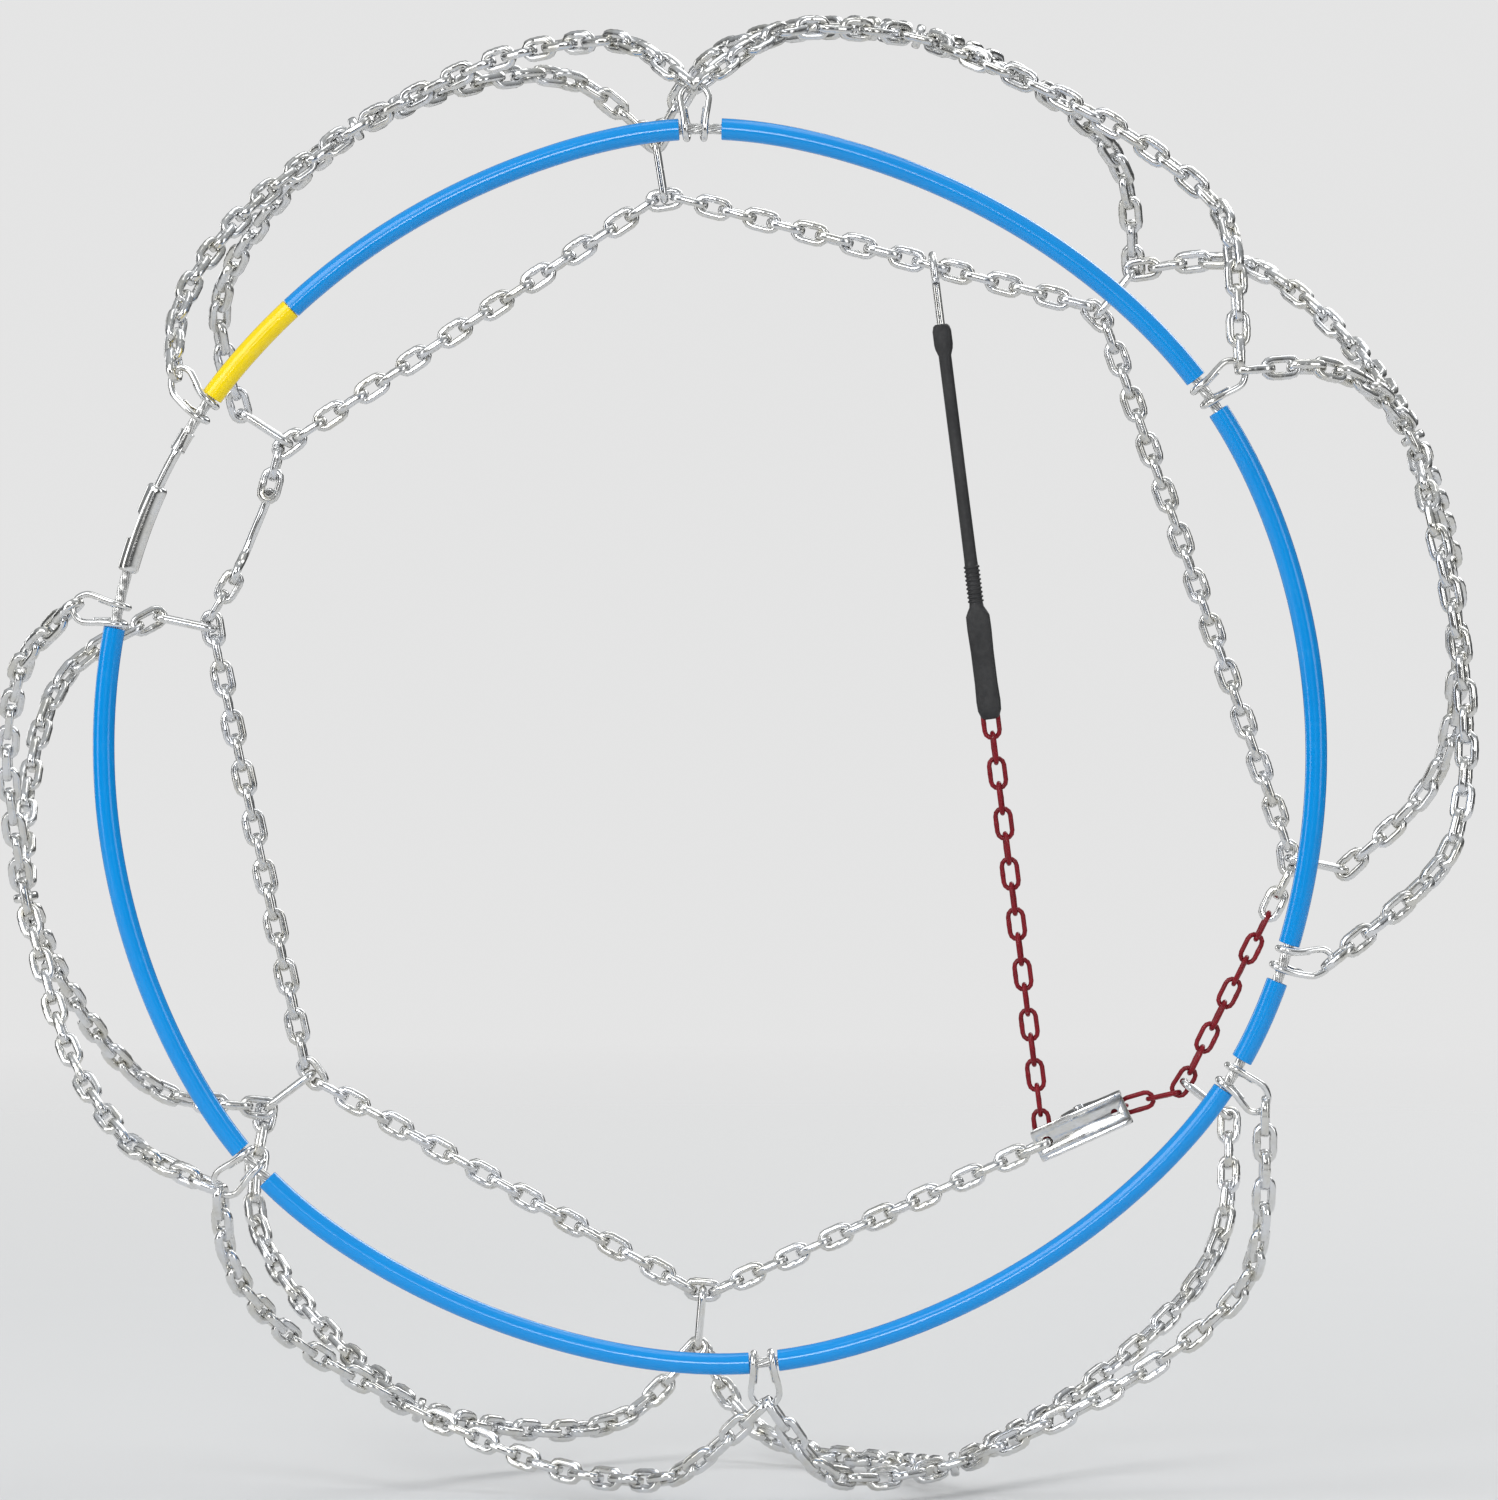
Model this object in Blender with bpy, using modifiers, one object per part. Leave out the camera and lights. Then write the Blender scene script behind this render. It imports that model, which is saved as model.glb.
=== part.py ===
"""Tire snow chain for a 205/55R16 tire, in the shape it takes when it is fitted.

Frame: metres, +Z up. The wheel's axle is the Y axis and the wheel's centre is the origin. The vehicle
side, with the plastic-covered steel hoop, faces -Y, and the outer side, with the tension chain, faces +Y.
Angles run about the axle from +X towards +Z, as seen from the vehicle side.
"""

import math

import bmesh
import bpy
from mathutils import Matrix, Vector

MM = 0.001
GAP = 0.3 * MM

# The tire that carries the chain, used only as a guide: half of its section is a superellipse.
WIDEST_RADIUS = 258 * MM
CROWN_HEIGHT = 55 * MM
HALF_SECTION = 106 * MM
SECTION_POWER = 3.2
CHAIN_STAND_OFF = 4.8 * MM

# Hoop on the vehicle side: a steel cable in plastic tubes.
HOOP_CENTRE = Vector((-14.3, -111.5, 5.6)) * MM
HOOP_RADIUS = 255.5 * MM

# The net pulls the hoop out of round: millimetres outwards by angle, over about 12 degrees each way.
HOOP_PULLS = {35.7: 2.7, 91.3: 6.7, 152.0: 2.5, 223.0: 5.7, 274.0: 4.8, 327.9: 5.0}
PULL_SPREAD = 12
CABLE_RADIUS = 2.25 * MM
TUBE_RADIUS = 4.6 * MM
TUBE_WALL = 1.8 * MM
HOOP_STEP = 20 * MM

# Wire shackles: angle on the hoop, and lean of the bow from the radial direction.
SHACKLES = {
    1: (91.3, 0),
    2: (35.7, 1),
    3: (340.0, 18),
    4: (327.9, -10),
    5: (275.0, -1),
    6: (221.9, 0),
    7: (167.1, 3),
    8: (146.0, -20),
}
# Bare cable on each side of a shackle, in degrees: towards the lower angles, then the higher.
BARE_CABLE = {
    1: (2.44, 1.49),
    2: (1.98, 1.64),
    3: (2.18, 1.47),
    4: (1.35, 1.89),
    5: (1.28, 1.42),
    6: (1.38, 2.29),
    7: (1.28, 1.28),
    8: (1.36, 1.28),
}
SHACKLE_WIRE_RADIUS = 1.4 * MM
EYE_RADIUS = 4.15 * MM
EYE_HALF_SPACING = 4.1 * MM
BOW_LENGTH = 18.9 * MM
BOW_HALF_WIDTH = 5.95 * MM
BOW_DROP = 1.8 * MM

# Hoop connector between shackles 8 and 7, as angles on the hoop.
TUBE_RUNS = [(2, 1), (7, 6), (6, 5), (5, 4), (4, 3), (3, 2)]
YELLOW_TUBE = (133.5, 144.64)
CABLE_SPLIT = 138.0
FERRULE = (148.6, 150.7)
SLEEVE = (154.4, 163.0)
PIN_RADIUS = 2.15 * MM
PIN_HEAD_RADIUS = 3.1 * MM
PIN_HEAD_DEPTH = (11.5 * MM, 14.5 * MM)
SLEEVE_RADIUS = 4.4 * MM
SLEEVE_BORE = 3.5 * MM

# Chain runs: half of the diagonal of the square bar that stands for a row of links.
CHAIN_HALF = 4.5 * MM
TENSION_CHAIN_HALF = 4.1 * MM
CHAIN_STEP = 15 * MM
LINK_LENGTH = 18.4 * MM
LINK_WIDTH = 10.0 * MM
LINK_WIRE_RADIUS = 1.7 * MM
LEG_CLEARANCE = 9.5 * MM
APEX_RADIUS = 7 * MM
APEX_OFFSET = LINK_LENGTH / 2 + 0.5 * MM + CHAIN_HALF

# Tread junctions: angle, and distance along the section from the middle of the tread (mm).
JUNCTIONS = {
    "12": (76.5, -40),
    "23": (25.6, -48),
    "45": (286.4, -45),
    "56": (243.5, -8),
    "67": (191.3, -8),
    "81": (122.0, -8),
}

# Inner legs from shackle to junction: where each one crosses the shoulder (angle, mm along the section).
INNER_LEGS = {
    (1, "81"): [(98, -95), (101, -76), (110, -42)],
    (1, "12"): [(89, -95), (86, -76), (81.5, -64)],
    (2, "12"): [(46.5, -101), (50, -82), (58, -76), (65, -74), (71.5, -66)],
    (2, "23"): [(34.5, -108), (31.5, -88), (29.5, -74)],
    (3, "23"): [(351.5, -104), (357, -92), (365, -88), (373, -86), (380, -80)],
    (4, "45"): [(318, -108), (313, -82), (306, -74), (298, -76), (291, -70)],
    (5, "45"): [(276, -98), (278.5, -80), (282, -66)],
    (5, "56"): [(265.5, -98), (262.4, -80), (255, -48)],
    (6, "56"): [(223.4, -97), (227, -78), (233, -45)],
    (6, "67"): [(214.5, -100), (211.5, -82), (204, -48)],
    (7, "67"): [(169.5, -101), (172.5, -80), (180, -45)],
    (8, "81"): [(142.2, -94), (138, -74), (131.5, -45)],
}
INNER_STRANDS = [(1, "12", 2), (2, "23", 3), (4, "45", 5), (5, "56", 6), (6, "67", 7), (8, "81", 1)]

# Outer side chain: a polygon of two chain lengths, with a side hook at each corner.
SIDE_PLANE = 110 * MM
SIDE_RADIUS = 243 * MM
SIDE_CORNERS = {1: 99, 2: 51, 3: -12, 4: -38, 5: -95, 6: 217, 7: 168, 8: 147}
SIDE_HOOK_LENGTH = 22 * MM
SIDE_HOOK_WIDTH = 11 * MM
SIDE_HOOK_WIRE = 1.8 * MM
OUTER_CROSSINGS = [(0.22, 103), (0.42, 80), (0.72, 44)]

# Closure of the outer side between corners 7 and 8: distances along the line from corner 7.
CLOSURE_EYE = 27.2 * MM
CLOSURE_REACH = 38 * MM
CLOSURE_WIRE = 2.0 * MM
CLOSURE_EYE_RADIUS = 4.2 * MM
CLOSURE_RISE = 6.6 * MM
CLOSURE_FINGER = 5 * MM

# Tension line on the outer side: ratchet exit, strap ends and hook, in the plane y = TENSION_PLANE.
TENSION_PLANE = 118 * MM
LINE_FOOT = Vector((129.5, 118, -174)) * MM
LINE_DIRECTION = Vector((-0.1257, 0, 0.99207)).normalized()
CHAIN_TOP = 186 * MM
STRAP_TOP = 362 * MM
HOOK_BEND = 7.5 * MM
HOOK_WIRE = 1.75 * MM
HOOK_TIP = 3 * MM

# Rubber tensioner's section along its length, in mm: half width, half thickness.
STRAP_FOOT = (4.2, 3.0)
STRAP_GRIP = (5.4, 3.2)
STRAP_GRIP_END = 46
STRAP_NECK = (3.0, 2.9)
STRAP_RIB = (3.8, 3.4)
STRAP_RIBS = 5
STRAP_RIB_STEP = 3.4
STRAP_CORD = (2.85, 2.85)
STRAP_SIDES = 12

# Ratchet: a folded steel channel whose axis points at corner 5.
RATCHET_ANGLE = 204
RATCHET_LENGTH = 44 * MM
RATCHET_WIDTH = 15 * MM
RATCHET_SHEET = 1.8 * MM
RATCHET_BASE = 111 * MM
RATCHET_CHEEK_TOP = 124 * MM
ANCHOR_INSET = 5.5 * MM
ANCHOR_RADIUS = 2.6 * MM
PAWL_PIN_HEIGHT = 128 * MM
PAWL_PIN_RADIUS = 1.5 * MM
PAWL_LENGTH = 17 * MM
PAWL_SHEET = 1.8 * MM
PAWL_TILT = 12

MATERIALS = {
    "zinc": ((0.72, 0.73, 0.74), 0.32, 1.0),
    "cable_steel": ((0.62, 0.63, 0.64), 0.38, 1.0),
    "blue_plastic": ((0.0, 0.30, 0.78), 0.32, 0.0),
    "yellow_plastic": ((0.92, 0.68, 0.01), 0.32, 0.0),
    "red_paint": ((0.33, 0.012, 0.02), 0.38, 0.0),
    "black_rubber": ((0.018, 0.018, 0.019), 0.62, 0.0),
}

made_materials = {}


# ---------------------------------------------------------------- helpers


def clear_scene():
    for item in list(bpy.data.objects):
        bpy.data.objects.remove(item, do_unlink=True)


def new_collection(name):
    collection = bpy.data.collections.new(name)
    bpy.context.scene.collection.children.link(collection)
    return collection


def material(name):
    if name not in made_materials:
        colour, roughness, metallic = MATERIALS[name]
        made = bpy.data.materials.new(name)
        made.use_nodes = True
        shader = made.node_tree.nodes["Principled BSDF"]
        shader.inputs["Base Color"].default_value = (*colour, 1)
        shader.inputs["Roughness"].default_value = roughness
        shader.inputs["Metallic"].default_value = metallic
        made.diffuse_color = (*colour, 1)
        made_materials[name] = made
    return made_materials[name]


def add_object(name, data, finish, matrix=None):
    thing = bpy.data.objects.new(name, data)
    parts.objects.link(thing)
    data.materials.append(material(finish))
    if matrix is not None:
        thing.matrix_world = matrix
    return thing


def polar(angle, radius, y=0.0):
    """A point at an angle (degrees) and a radius about the axle."""
    turn = math.radians(angle)
    return Vector((radius * math.cos(turn), y, radius * math.sin(turn)))


def hoop_pull(angle):
    """How far the net pulls the hoop outwards at an angle."""
    pull = 0.0
    for place, most in HOOP_PULLS.items():
        apart = (angle - place + 180) % 360 - 180
        pull += most * MM / math.cosh(apart / PULL_SPREAD)
    return pull


def hoop_point(angle, radius=HOOP_RADIUS, out=0.0):
    """A point at an angle about the hoop's centre, moved out from the tire by out."""
    return HOOP_CENTRE + polar(angle, radius + hoop_pull(angle), -out)


def section_table(count=600):
    """Distance along the chain's path over the tire's section, with y and radius at each distance."""
    rows = []
    distance = 0.0
    last = None
    for step in range(count + 1):
        turn = math.pi / 2 * step / count
        y = (HALF_SECTION + CHAIN_STAND_OFF) * math.sin(turn) ** (2 / SECTION_POWER)
        radius = WIDEST_RADIUS + (CROWN_HEIGHT + CHAIN_STAND_OFF) * math.cos(turn) ** (2 / SECTION_POWER)
        if last is not None:
            distance += math.hypot(y - last[0], radius - last[1])
        last = (y, radius)
        rows.append((distance, y, radius))
    return rows


def guide_point(angle, along):
    """A point on the chain's path over the tire: along is in mm from the middle of the tread."""
    target = abs(along) * MM
    for (d0, y0, r0), (d1, y1, r1) in zip(SECTION, SECTION[1:]):
        if d1 >= target:
            share = (target - d0) / (d1 - d0)
            y = y0 + (y1 - y0) * share
            return polar(angle, r0 + (r1 - r0) * share, math.copysign(y, along))
    raise ValueError("past the tire's widest point")


def smooth_path(points, step):
    """Points about a step apart on a smooth curve through the given ones."""
    ends = [points[0] * 2 - points[1], *points, points[-1] * 2 - points[-2]]
    path = [points[0]]
    for before, start, end, after in zip(ends, ends[1:], ends[2:], ends[3:]):
        count = max(1, round((end - start).length / step))
        reach = (end - start).length
        leave = (end - before).normalized() * reach
        arrive = (after - start).normalized() * reach
        for index in range(1, count + 1):
            t = index / count
            path.append(
                start * (2 * t**3 - 3 * t**2 + 1)
                + leave * (t**3 - 2 * t**2 + t)
                + end * (3 * t**2 - 2 * t**3)
                + arrive * (t**3 - t**2)
            )
    return path


def wire(name, points, radius, finish, sides=6, closed=False, matrix=None):
    """A round or square bar along points, as a curve object."""
    data = bpy.data.curves.new(name, "CURVE")
    data.dimensions = "3D"
    data.bevel_depth = radius
    data.bevel_resolution = sides // 2 - 2
    data.use_fill_caps = not closed
    spline = data.splines.new("POLY")
    spline.points.add(len(points) - 1)
    for place, point in zip(spline.points, points):
        place.co = (*point, 1)
    spline.use_cyclic_u = closed
    return add_object(name, data, finish, matrix)


def arc_points(start, end, step=HOOP_STEP):
    """Points on the hoop's circle between two angles."""
    count = max(2, math.ceil(math.radians(abs(end - start)) * HOOP_RADIUS / step))
    return [hoop_point(start + (end - start) * index / count) for index in range(count + 1)]


def turned(name, profile, finish, sides=16):
    """A turned piece on its own X axis: profile is (x, radius) down its outer side, as a closed outline."""
    mesh = bpy.data.meshes.new(name)
    shape = bmesh.new()
    corners = [shape.verts.new((radius, 0, -x)) for x, radius in profile]
    for first, second in zip(corners, corners[1:] + corners[:1]):
        shape.edges.new((first, second))
    shape.to_mesh(mesh)
    shape.free()
    thing = add_object(name, mesh, finish)
    screw = thing.modifiers.new("turn", "SCREW")
    screw.axis = "Z"
    screw.steps = sides
    screw.render_steps = sides
    screw.use_merge_vertices = True
    screw.merge_threshold = 0.00001
    return thing


def applied(thing):
    """The object with its modifiers made permanent, facing outwards."""
    graph = bpy.context.evaluated_depsgraph_get()
    mesh = bpy.data.meshes.new_from_object(thing.evaluated_get(graph))
    shape = bmesh.new()
    shape.from_mesh(mesh)
    bmesh.ops.remove_doubles(shape, verts=shape.verts, dist=0.000002)
    bmesh.ops.recalc_face_normals(shape, faces=shape.faces)
    shape.to_mesh(mesh)
    shape.free()
    thing.modifiers.clear()
    thing.data = mesh
    return thing


def bend_onto_hoop(thing, start_angle):
    """Bends a piece turned along -Z so that its axis follows the hoop from start_angle."""
    for corner in thing.data.vertices:
        along, outward, front = -corner.co.z, corner.co.x, corner.co.y
        angle = start_angle + math.degrees(along / HOOP_RADIUS)
        corner.co = hoop_point(angle, HOOP_RADIUS + outward, front)
    thing.data.update()


def face_outwards(thing):
    """Turns a mesh's faces out."""
    shape = bmesh.new()
    shape.from_mesh(thing.data)
    bmesh.ops.recalc_face_normals(shape, faces=shape.faces)
    shape.to_mesh(thing.data)
    shape.free()


def box_mesh(name, size, centre):
    """A box of a given size about a centre, as a mesh."""
    mesh = bpy.data.meshes.new(name)
    shape = bmesh.new()
    place = Matrix.Translation(centre) @ Matrix.Diagonal((*size, 1))
    bmesh.ops.create_cube(shape, size=1.0, matrix=place)
    shape.to_mesh(mesh)
    shape.free()
    return mesh


def boolean(thing, mesh, operation, matrix=None):
    """Joins a cutter's or an addition's mesh to a thing with a Boolean modifier."""
    tool = bpy.data.objects.new(thing.name + "_tool", mesh)
    cutters.objects.link(tool)
    tool.hide_render = True
    tool.display_type = "WIRE"
    tool.matrix_world = matrix or thing.matrix_world
    change = thing.modifiers.new(operation.lower(), "BOOLEAN")
    change.operation = operation
    change.solver = "EXACT"
    change.object = tool


def cylinder_mesh(name, radius, length, place, sides=16):
    """A cylinder along its own Z axis, moved by place, as a mesh."""
    mesh = bpy.data.meshes.new(name)
    shape = bmesh.new()
    bmesh.ops.create_cone(
        shape,
        cap_ends=True,
        segments=sides,
        radius1=radius,
        radius2=radius,
        depth=length,
        matrix=place,
    )
    shape.to_mesh(mesh)
    shape.free()
    return mesh


def joint_empty(name, place):
    """An empty on a joint's axis, which carries the pieces that move with it."""
    empty = bpy.data.objects.new(name, None)
    parts.objects.link(empty)
    empty.matrix_world = place
    return empty


def carry(empty, *things):
    """Parents things to an empty and keeps them where they are."""
    for thing in things:
        placed = thing.matrix_world.copy()
        thing.parent = empty
        thing.matrix_parent_inverse = empty.matrix_world.inverted()
        thing.matrix_world = placed


# ---------------------------------------------------------------- vehicle side


def make_tube(name, start, end, finish):
    """A plastic tube round the cable between two angles on the hoop."""
    data = bpy.data.curves.new(name, "CURVE")
    data.dimensions = "3D"
    data.bevel_depth = TUBE_RADIUS
    data.bevel_resolution = 2
    spline = data.splines.new("POLY")
    points = arc_points(start, end)
    spline.points.add(len(points) - 1)
    for place, point in zip(spline.points, points):
        place.co = (*point, 1)
    tube = add_object(name, data, finish)
    wall = tube.modifiers.new("wall", "SOLIDIFY")
    wall.thickness = TUBE_WALL
    wall.offset = -1


def make_hoop():
    """The cable, in the two lengths that part inside the yellow tube, and its tubes."""
    sleeve_floor = SLEEVE[1] - math.degrees(7 * MM / HOOP_RADIUS)
    wire("hoop_cable", arc_points(sleeve_floor, 360 + CABLE_SPLIT - 0.1), CABLE_RADIUS, "cable_steel")
    plug_cable = wire("plug_cable", arc_points(CABLE_SPLIT, FERRULE[0] - 0.08), CABLE_RADIUS, "cable_steel")
    for first, second in TUBE_RUNS:
        start = SHACKLES[first][0] + BARE_CABLE[first][1]
        end = SHACKLES[second][0] - BARE_CABLE[second][0]
        make_tube(f"blue_tube_{first}_{second}", start, end + 360 * (end < start), "blue_plastic")
    start = SHACKLES[1][0] + BARE_CABLE[1][1]
    make_tube("blue_tube_1_8", start, YELLOW_TUBE[0] - 0.1, "blue_plastic")
    make_tube("yellow_tube", *YELLOW_TUBE, "yellow_plastic")
    return plug_cable


def make_connector(plug_cable):
    """The keyhole sleeve on one end of the cable, and the ferrule and headed pin on the other."""
    length = math.radians(SLEEVE[1] - SLEEVE[0]) * HOOP_RADIUS
    floor = length - 7.6 * MM
    bore_at_cable = CABLE_RADIUS + 0.35 * MM
    lip_bore = PIN_RADIUS + 0.45 * MM
    sleeve = turned(
        "keyhole_sleeve",
        [
            (0, lip_bore),
            (0, SLEEVE_RADIUS - 0.6 * MM),
            (0.8 * MM, SLEEVE_RADIUS),
            (length - 1 * MM, SLEEVE_RADIUS),
            (length, SLEEVE_RADIUS - 1 * MM),
            (length, bore_at_cable),
            (floor, bore_at_cable),
            (floor, SLEEVE_BORE),
            (1.8 * MM, SLEEVE_BORE),
            (1.8 * MM, lip_bore),
        ],
        "zinc",
    )
    sleeve = applied(sleeve)
    subdivide_along(sleeve, 4)
    bend_onto_hoop(sleeve, SLEEVE[0])
    face_outwards(sleeve)
    slot_middle = SLEEVE[0] + math.degrees(19 * MM / HOOP_RADIUS)
    turn = Matrix.Rotation(-math.radians(slot_middle), 4, "Y")
    slot = box_mesh("slot", (8 * MM, 7 * MM, 12 * MM), (5.2 * MM, 0, 0))
    boolean(sleeve, slot, "DIFFERENCE", Matrix.Translation(hoop_point(slot_middle)) @ turn)

    ferrule_length = math.radians(FERRULE[1] - FERRULE[0]) * HOOP_RADIUS
    half = 3.2 * MM
    ferrule = turned(
        "crimp_ferrule",
        [
            (0, 0),
            (0, half - 0.5 * MM),
            (0.5 * MM, half),
            (ferrule_length - 0.5 * MM, half),
            (ferrule_length, half - 0.5 * MM),
            (ferrule_length, 0),
        ],
        "zinc",
        sides=10,
    )
    pin_start = FERRULE[1] + 0.08
    mouth = math.radians(SLEEVE[0] - pin_start) * HOOP_RADIUS
    neck, tip = mouth + PIN_HEAD_DEPTH[0], mouth + PIN_HEAD_DEPTH[1]
    pin = turned(
        "plug_pin",
        [
            (0, 0),
            (0, PIN_RADIUS),
            (neck, PIN_RADIUS),
            (neck, PIN_HEAD_RADIUS),
            (tip - 0.8 * MM, PIN_HEAD_RADIUS),
            (tip, PIN_HEAD_RADIUS - 1 * MM),
            (tip, 0),
        ],
        "zinc",
        sides=12,
    )
    for thing, start in ((ferrule, FERRULE[0]), (pin, pin_start)):
        applied(thing)
        bend_onto_hoop(thing, start)
        face_outwards(thing)
    empty = joint_empty("plug_axis", Matrix.Translation(HOOP_CENTRE))
    carry(empty, plug_cable, ferrule, pin)


def shackle_points(lean):
    """One shackle's wire in its own frame: X out to the bow, Y along the cable, Z away from the tire."""
    half = []
    half.append((8.8 * MM, EYE_HALF_SPACING + 0.5 * MM, -2.2 * MM))
    half.append((5.0 * MM, EYE_HALF_SPACING - 0.1 * MM, -3.6 * MM))
    for index in range(5):
        turn = math.radians(-90 - 45 * index)
        side = EYE_HALF_SPACING + (-1.1 + 0.3 * index) * MM
        half.append((EYE_RADIUS * math.cos(turn), side, EYE_RADIUS * math.sin(turn)))
    half.append((5.0 * MM, EYE_HALF_SPACING + 0.6 * MM, 3.3 * MM))
    half.append((10.0 * MM, BOW_HALF_WIDTH - 0.3 * MM, 1.4 * MM))
    half.append((14.0 * MM, BOW_HALF_WIDTH, -0.2 * MM))
    half.append((17.2 * MM, BOW_HALF_WIDTH - 1.7 * MM, -1.3 * MM))
    half.append((18.6 * MM, BOW_HALF_WIDTH - 3.9 * MM, -1.7 * MM))
    top = (BOW_LENGTH, 0, -BOW_DROP)
    other = [(x, -y, z) for x, y, z in reversed(half)]
    slant = math.tan(math.radians(lean))
    return [Vector((x, y + max(0, x - 3 * MM) * slant, z)) for x, y, z in [*half, top, *other]]


def make_shackles():
    """The eight shackles, each with its origin on the cable and its Y axis along it."""
    bows = {}
    for number, (angle, lean) in SHACKLES.items():
        out = polar(angle, 1)
        along = polar(angle + 90, 1)
        front = out.cross(along)
        place = Matrix((out, along, front)).transposed().to_4x4()
        place.translation = hoop_point(angle)
        points = shackle_points(lean)
        wire(f"shackle_{number}", points, SHACKLE_WIRE_RADIUS, "zinc", matrix=place)
        bows[number] = place @ points[len(points) // 2]
    return bows


# ---------------------------------------------------------------- tread


def leg_points(bow, stations):
    """A leg from just past a bow or side hook, over the shoulder, towards its junction."""
    crossing = [guide_point(*station) for station in stations]
    return [bow + (crossing[0] - bow).normalized() * LEG_CLEARANCE, *crossing]


def apex_points(junction, side, rising):
    """The rounded point of a V at a junction: side is -1 on the vehicle side and 1 on the outer side."""
    angle, along = JUNCTIONS[junction]
    radius = guide_point(angle, along).xz.length
    points = []
    for turn in (150, 90, 30):
        across = APEX_RADIUS * math.cos(math.radians(turn))
        back = APEX_OFFSET + APEX_RADIUS * (1 - math.sin(math.radians(turn)))
        points.append(guide_point(angle + math.degrees(across / radius) * -1, along + side * back / MM))
    return points if rising else points[::-1]


def make_strands(bows, corners):
    """The V-shaped chain lengths of both sides, each from one bow to the next through a junction."""
    for first, junction, second in INNER_STRANDS:
        angle = JUNCTIONS[junction][0]
        rising = (INNER_LEGS[first, junction][-1][0] - angle) % 360 < 180
        path = leg_points(bows[first], INNER_LEGS[first, junction])
        path += apex_points(junction, -1, rising)
        path += leg_points(bows[second], INNER_LEGS[second, junction])[::-1]
        wire(f"inner_chain_{junction}", smooth_path(path, CHAIN_STEP), CHAIN_HALF, "zinc", sides=4)
        ends = []
        for number in (first, second):
            corner = SIDE_CORNERS[number]
            reach = (angle - corner + 180) % 360 - 180
            ends.append([(corner + reach * share, along) for share, along in OUTER_CROSSINGS])
        path = leg_points(corners[first], ends[0])
        path += apex_points(junction, 1, (ends[0][-1][0] - angle) % 360 < 180)
        path += leg_points(corners[second], ends[1])[::-1]
        wire(f"outer_chain_{junction}", smooth_path(path, CHAIN_STEP), CHAIN_HALF, "zinc", sides=4)


def oval(length, width):
    """Points round a long ring in the XY plane: straight sides and round ends."""
    round_radius = width / 2
    straight = length / 2 - round_radius
    points = []
    for end in (1, -1):
        for index in range(6):
            turn = math.radians(-75 + 30 * index) + (0 if end > 0 else math.pi)
            points.append(
                Vector((end * straight + round_radius * math.cos(turn), round_radius * math.sin(turn), 0))
            )
    return points


def make_junction_links():
    """The six links, standing on edge, that tie the inner V chains to the outer ones."""
    ring = oval(LINK_LENGTH - 2 * LINK_WIRE_RADIUS, LINK_WIDTH - 2 * LINK_WIRE_RADIUS)
    for junction, (angle, along) in JUNCTIONS.items():
        centre = guide_point(angle, along)
        lengthwise = (guide_point(angle, along + 1) - guide_point(angle, along - 1)).normalized()
        across = polar(angle + 90, 1)
        up = lengthwise.cross(across).normalized()
        place = Matrix((lengthwise, up, -across)).transposed().to_4x4()
        place.translation = centre
        wire(f"junction_link_{junction}", ring, LINK_WIRE_RADIUS, "zinc", closed=True, matrix=place)


# ---------------------------------------------------------------- outer side


def side_corner(number):
    return polar(SIDE_CORNERS[number], SIDE_RADIUS, SIDE_PLANE)


def make_side_hooks():
    """The eight oval hooks, standing on edge, that tie the outer V chains to the side chain."""
    ring = oval(SIDE_HOOK_LENGTH - 2 * SIDE_HOOK_WIRE, SIDE_HOOK_WIDTH - 2 * SIDE_HOOK_WIRE)
    middle = SIDE_RADIUS + CHAIN_HALF + 0.8 * MM + SIDE_HOOK_LENGTH / 2
    bows = {}
    for number, angle in SIDE_CORNERS.items():
        outward = polar(angle, 1)
        place = Matrix((outward, Vector((0, 1, 0)), outward.cross(Vector((0, 1, 0))))).transposed().to_4x4()
        place.translation = polar(angle, middle, SIDE_PLANE)
        wire(f"side_hook_{number}", ring, SIDE_HOOK_WIRE, "zinc", closed=True, matrix=place)
        bows[number] = polar(angle, middle + SIDE_HOOK_LENGTH / 2 - SIDE_HOOK_WIRE, SIDE_PLANE)
    return bows


def rounded_corner(before, corner, after):
    """Three points in place of a corner."""
    back = (before - corner).normalized() * 6 * MM
    onward = (after - corner).normalized() * 6 * MM
    return [corner + back, corner + (back + onward) * 0.3, corner + onward]


def chain_line(name, points, half, finish):
    """A taut chain through corners, as one square bar."""
    path = [points[0]]
    for before, corner, after in zip(points, points[1:], points[2:]):
        path += rounded_corner(before, corner, after)
    path.append(points[-1])
    return wire(name, path, half, finish, sides=4)


def ratchet_frame():
    """The ratchet's place: X along the channel towards corner 5, Y up out of the wheel's plane, Z across."""
    along = polar(RATCHET_ANGLE, 1)
    front = Vector((0, 1, 0))
    place = Matrix((along, front, along.cross(front))).transposed().to_4x4()
    exit_point = LINE_FOOT.copy()
    exit_point.y = 0
    inwards = polar(RATCHET_ANGLE - 90, 1)
    place.translation = exit_point - along * (RATCHET_LENGTH / 2 - 5 * MM) - inwards * 3 * MM
    return place


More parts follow.
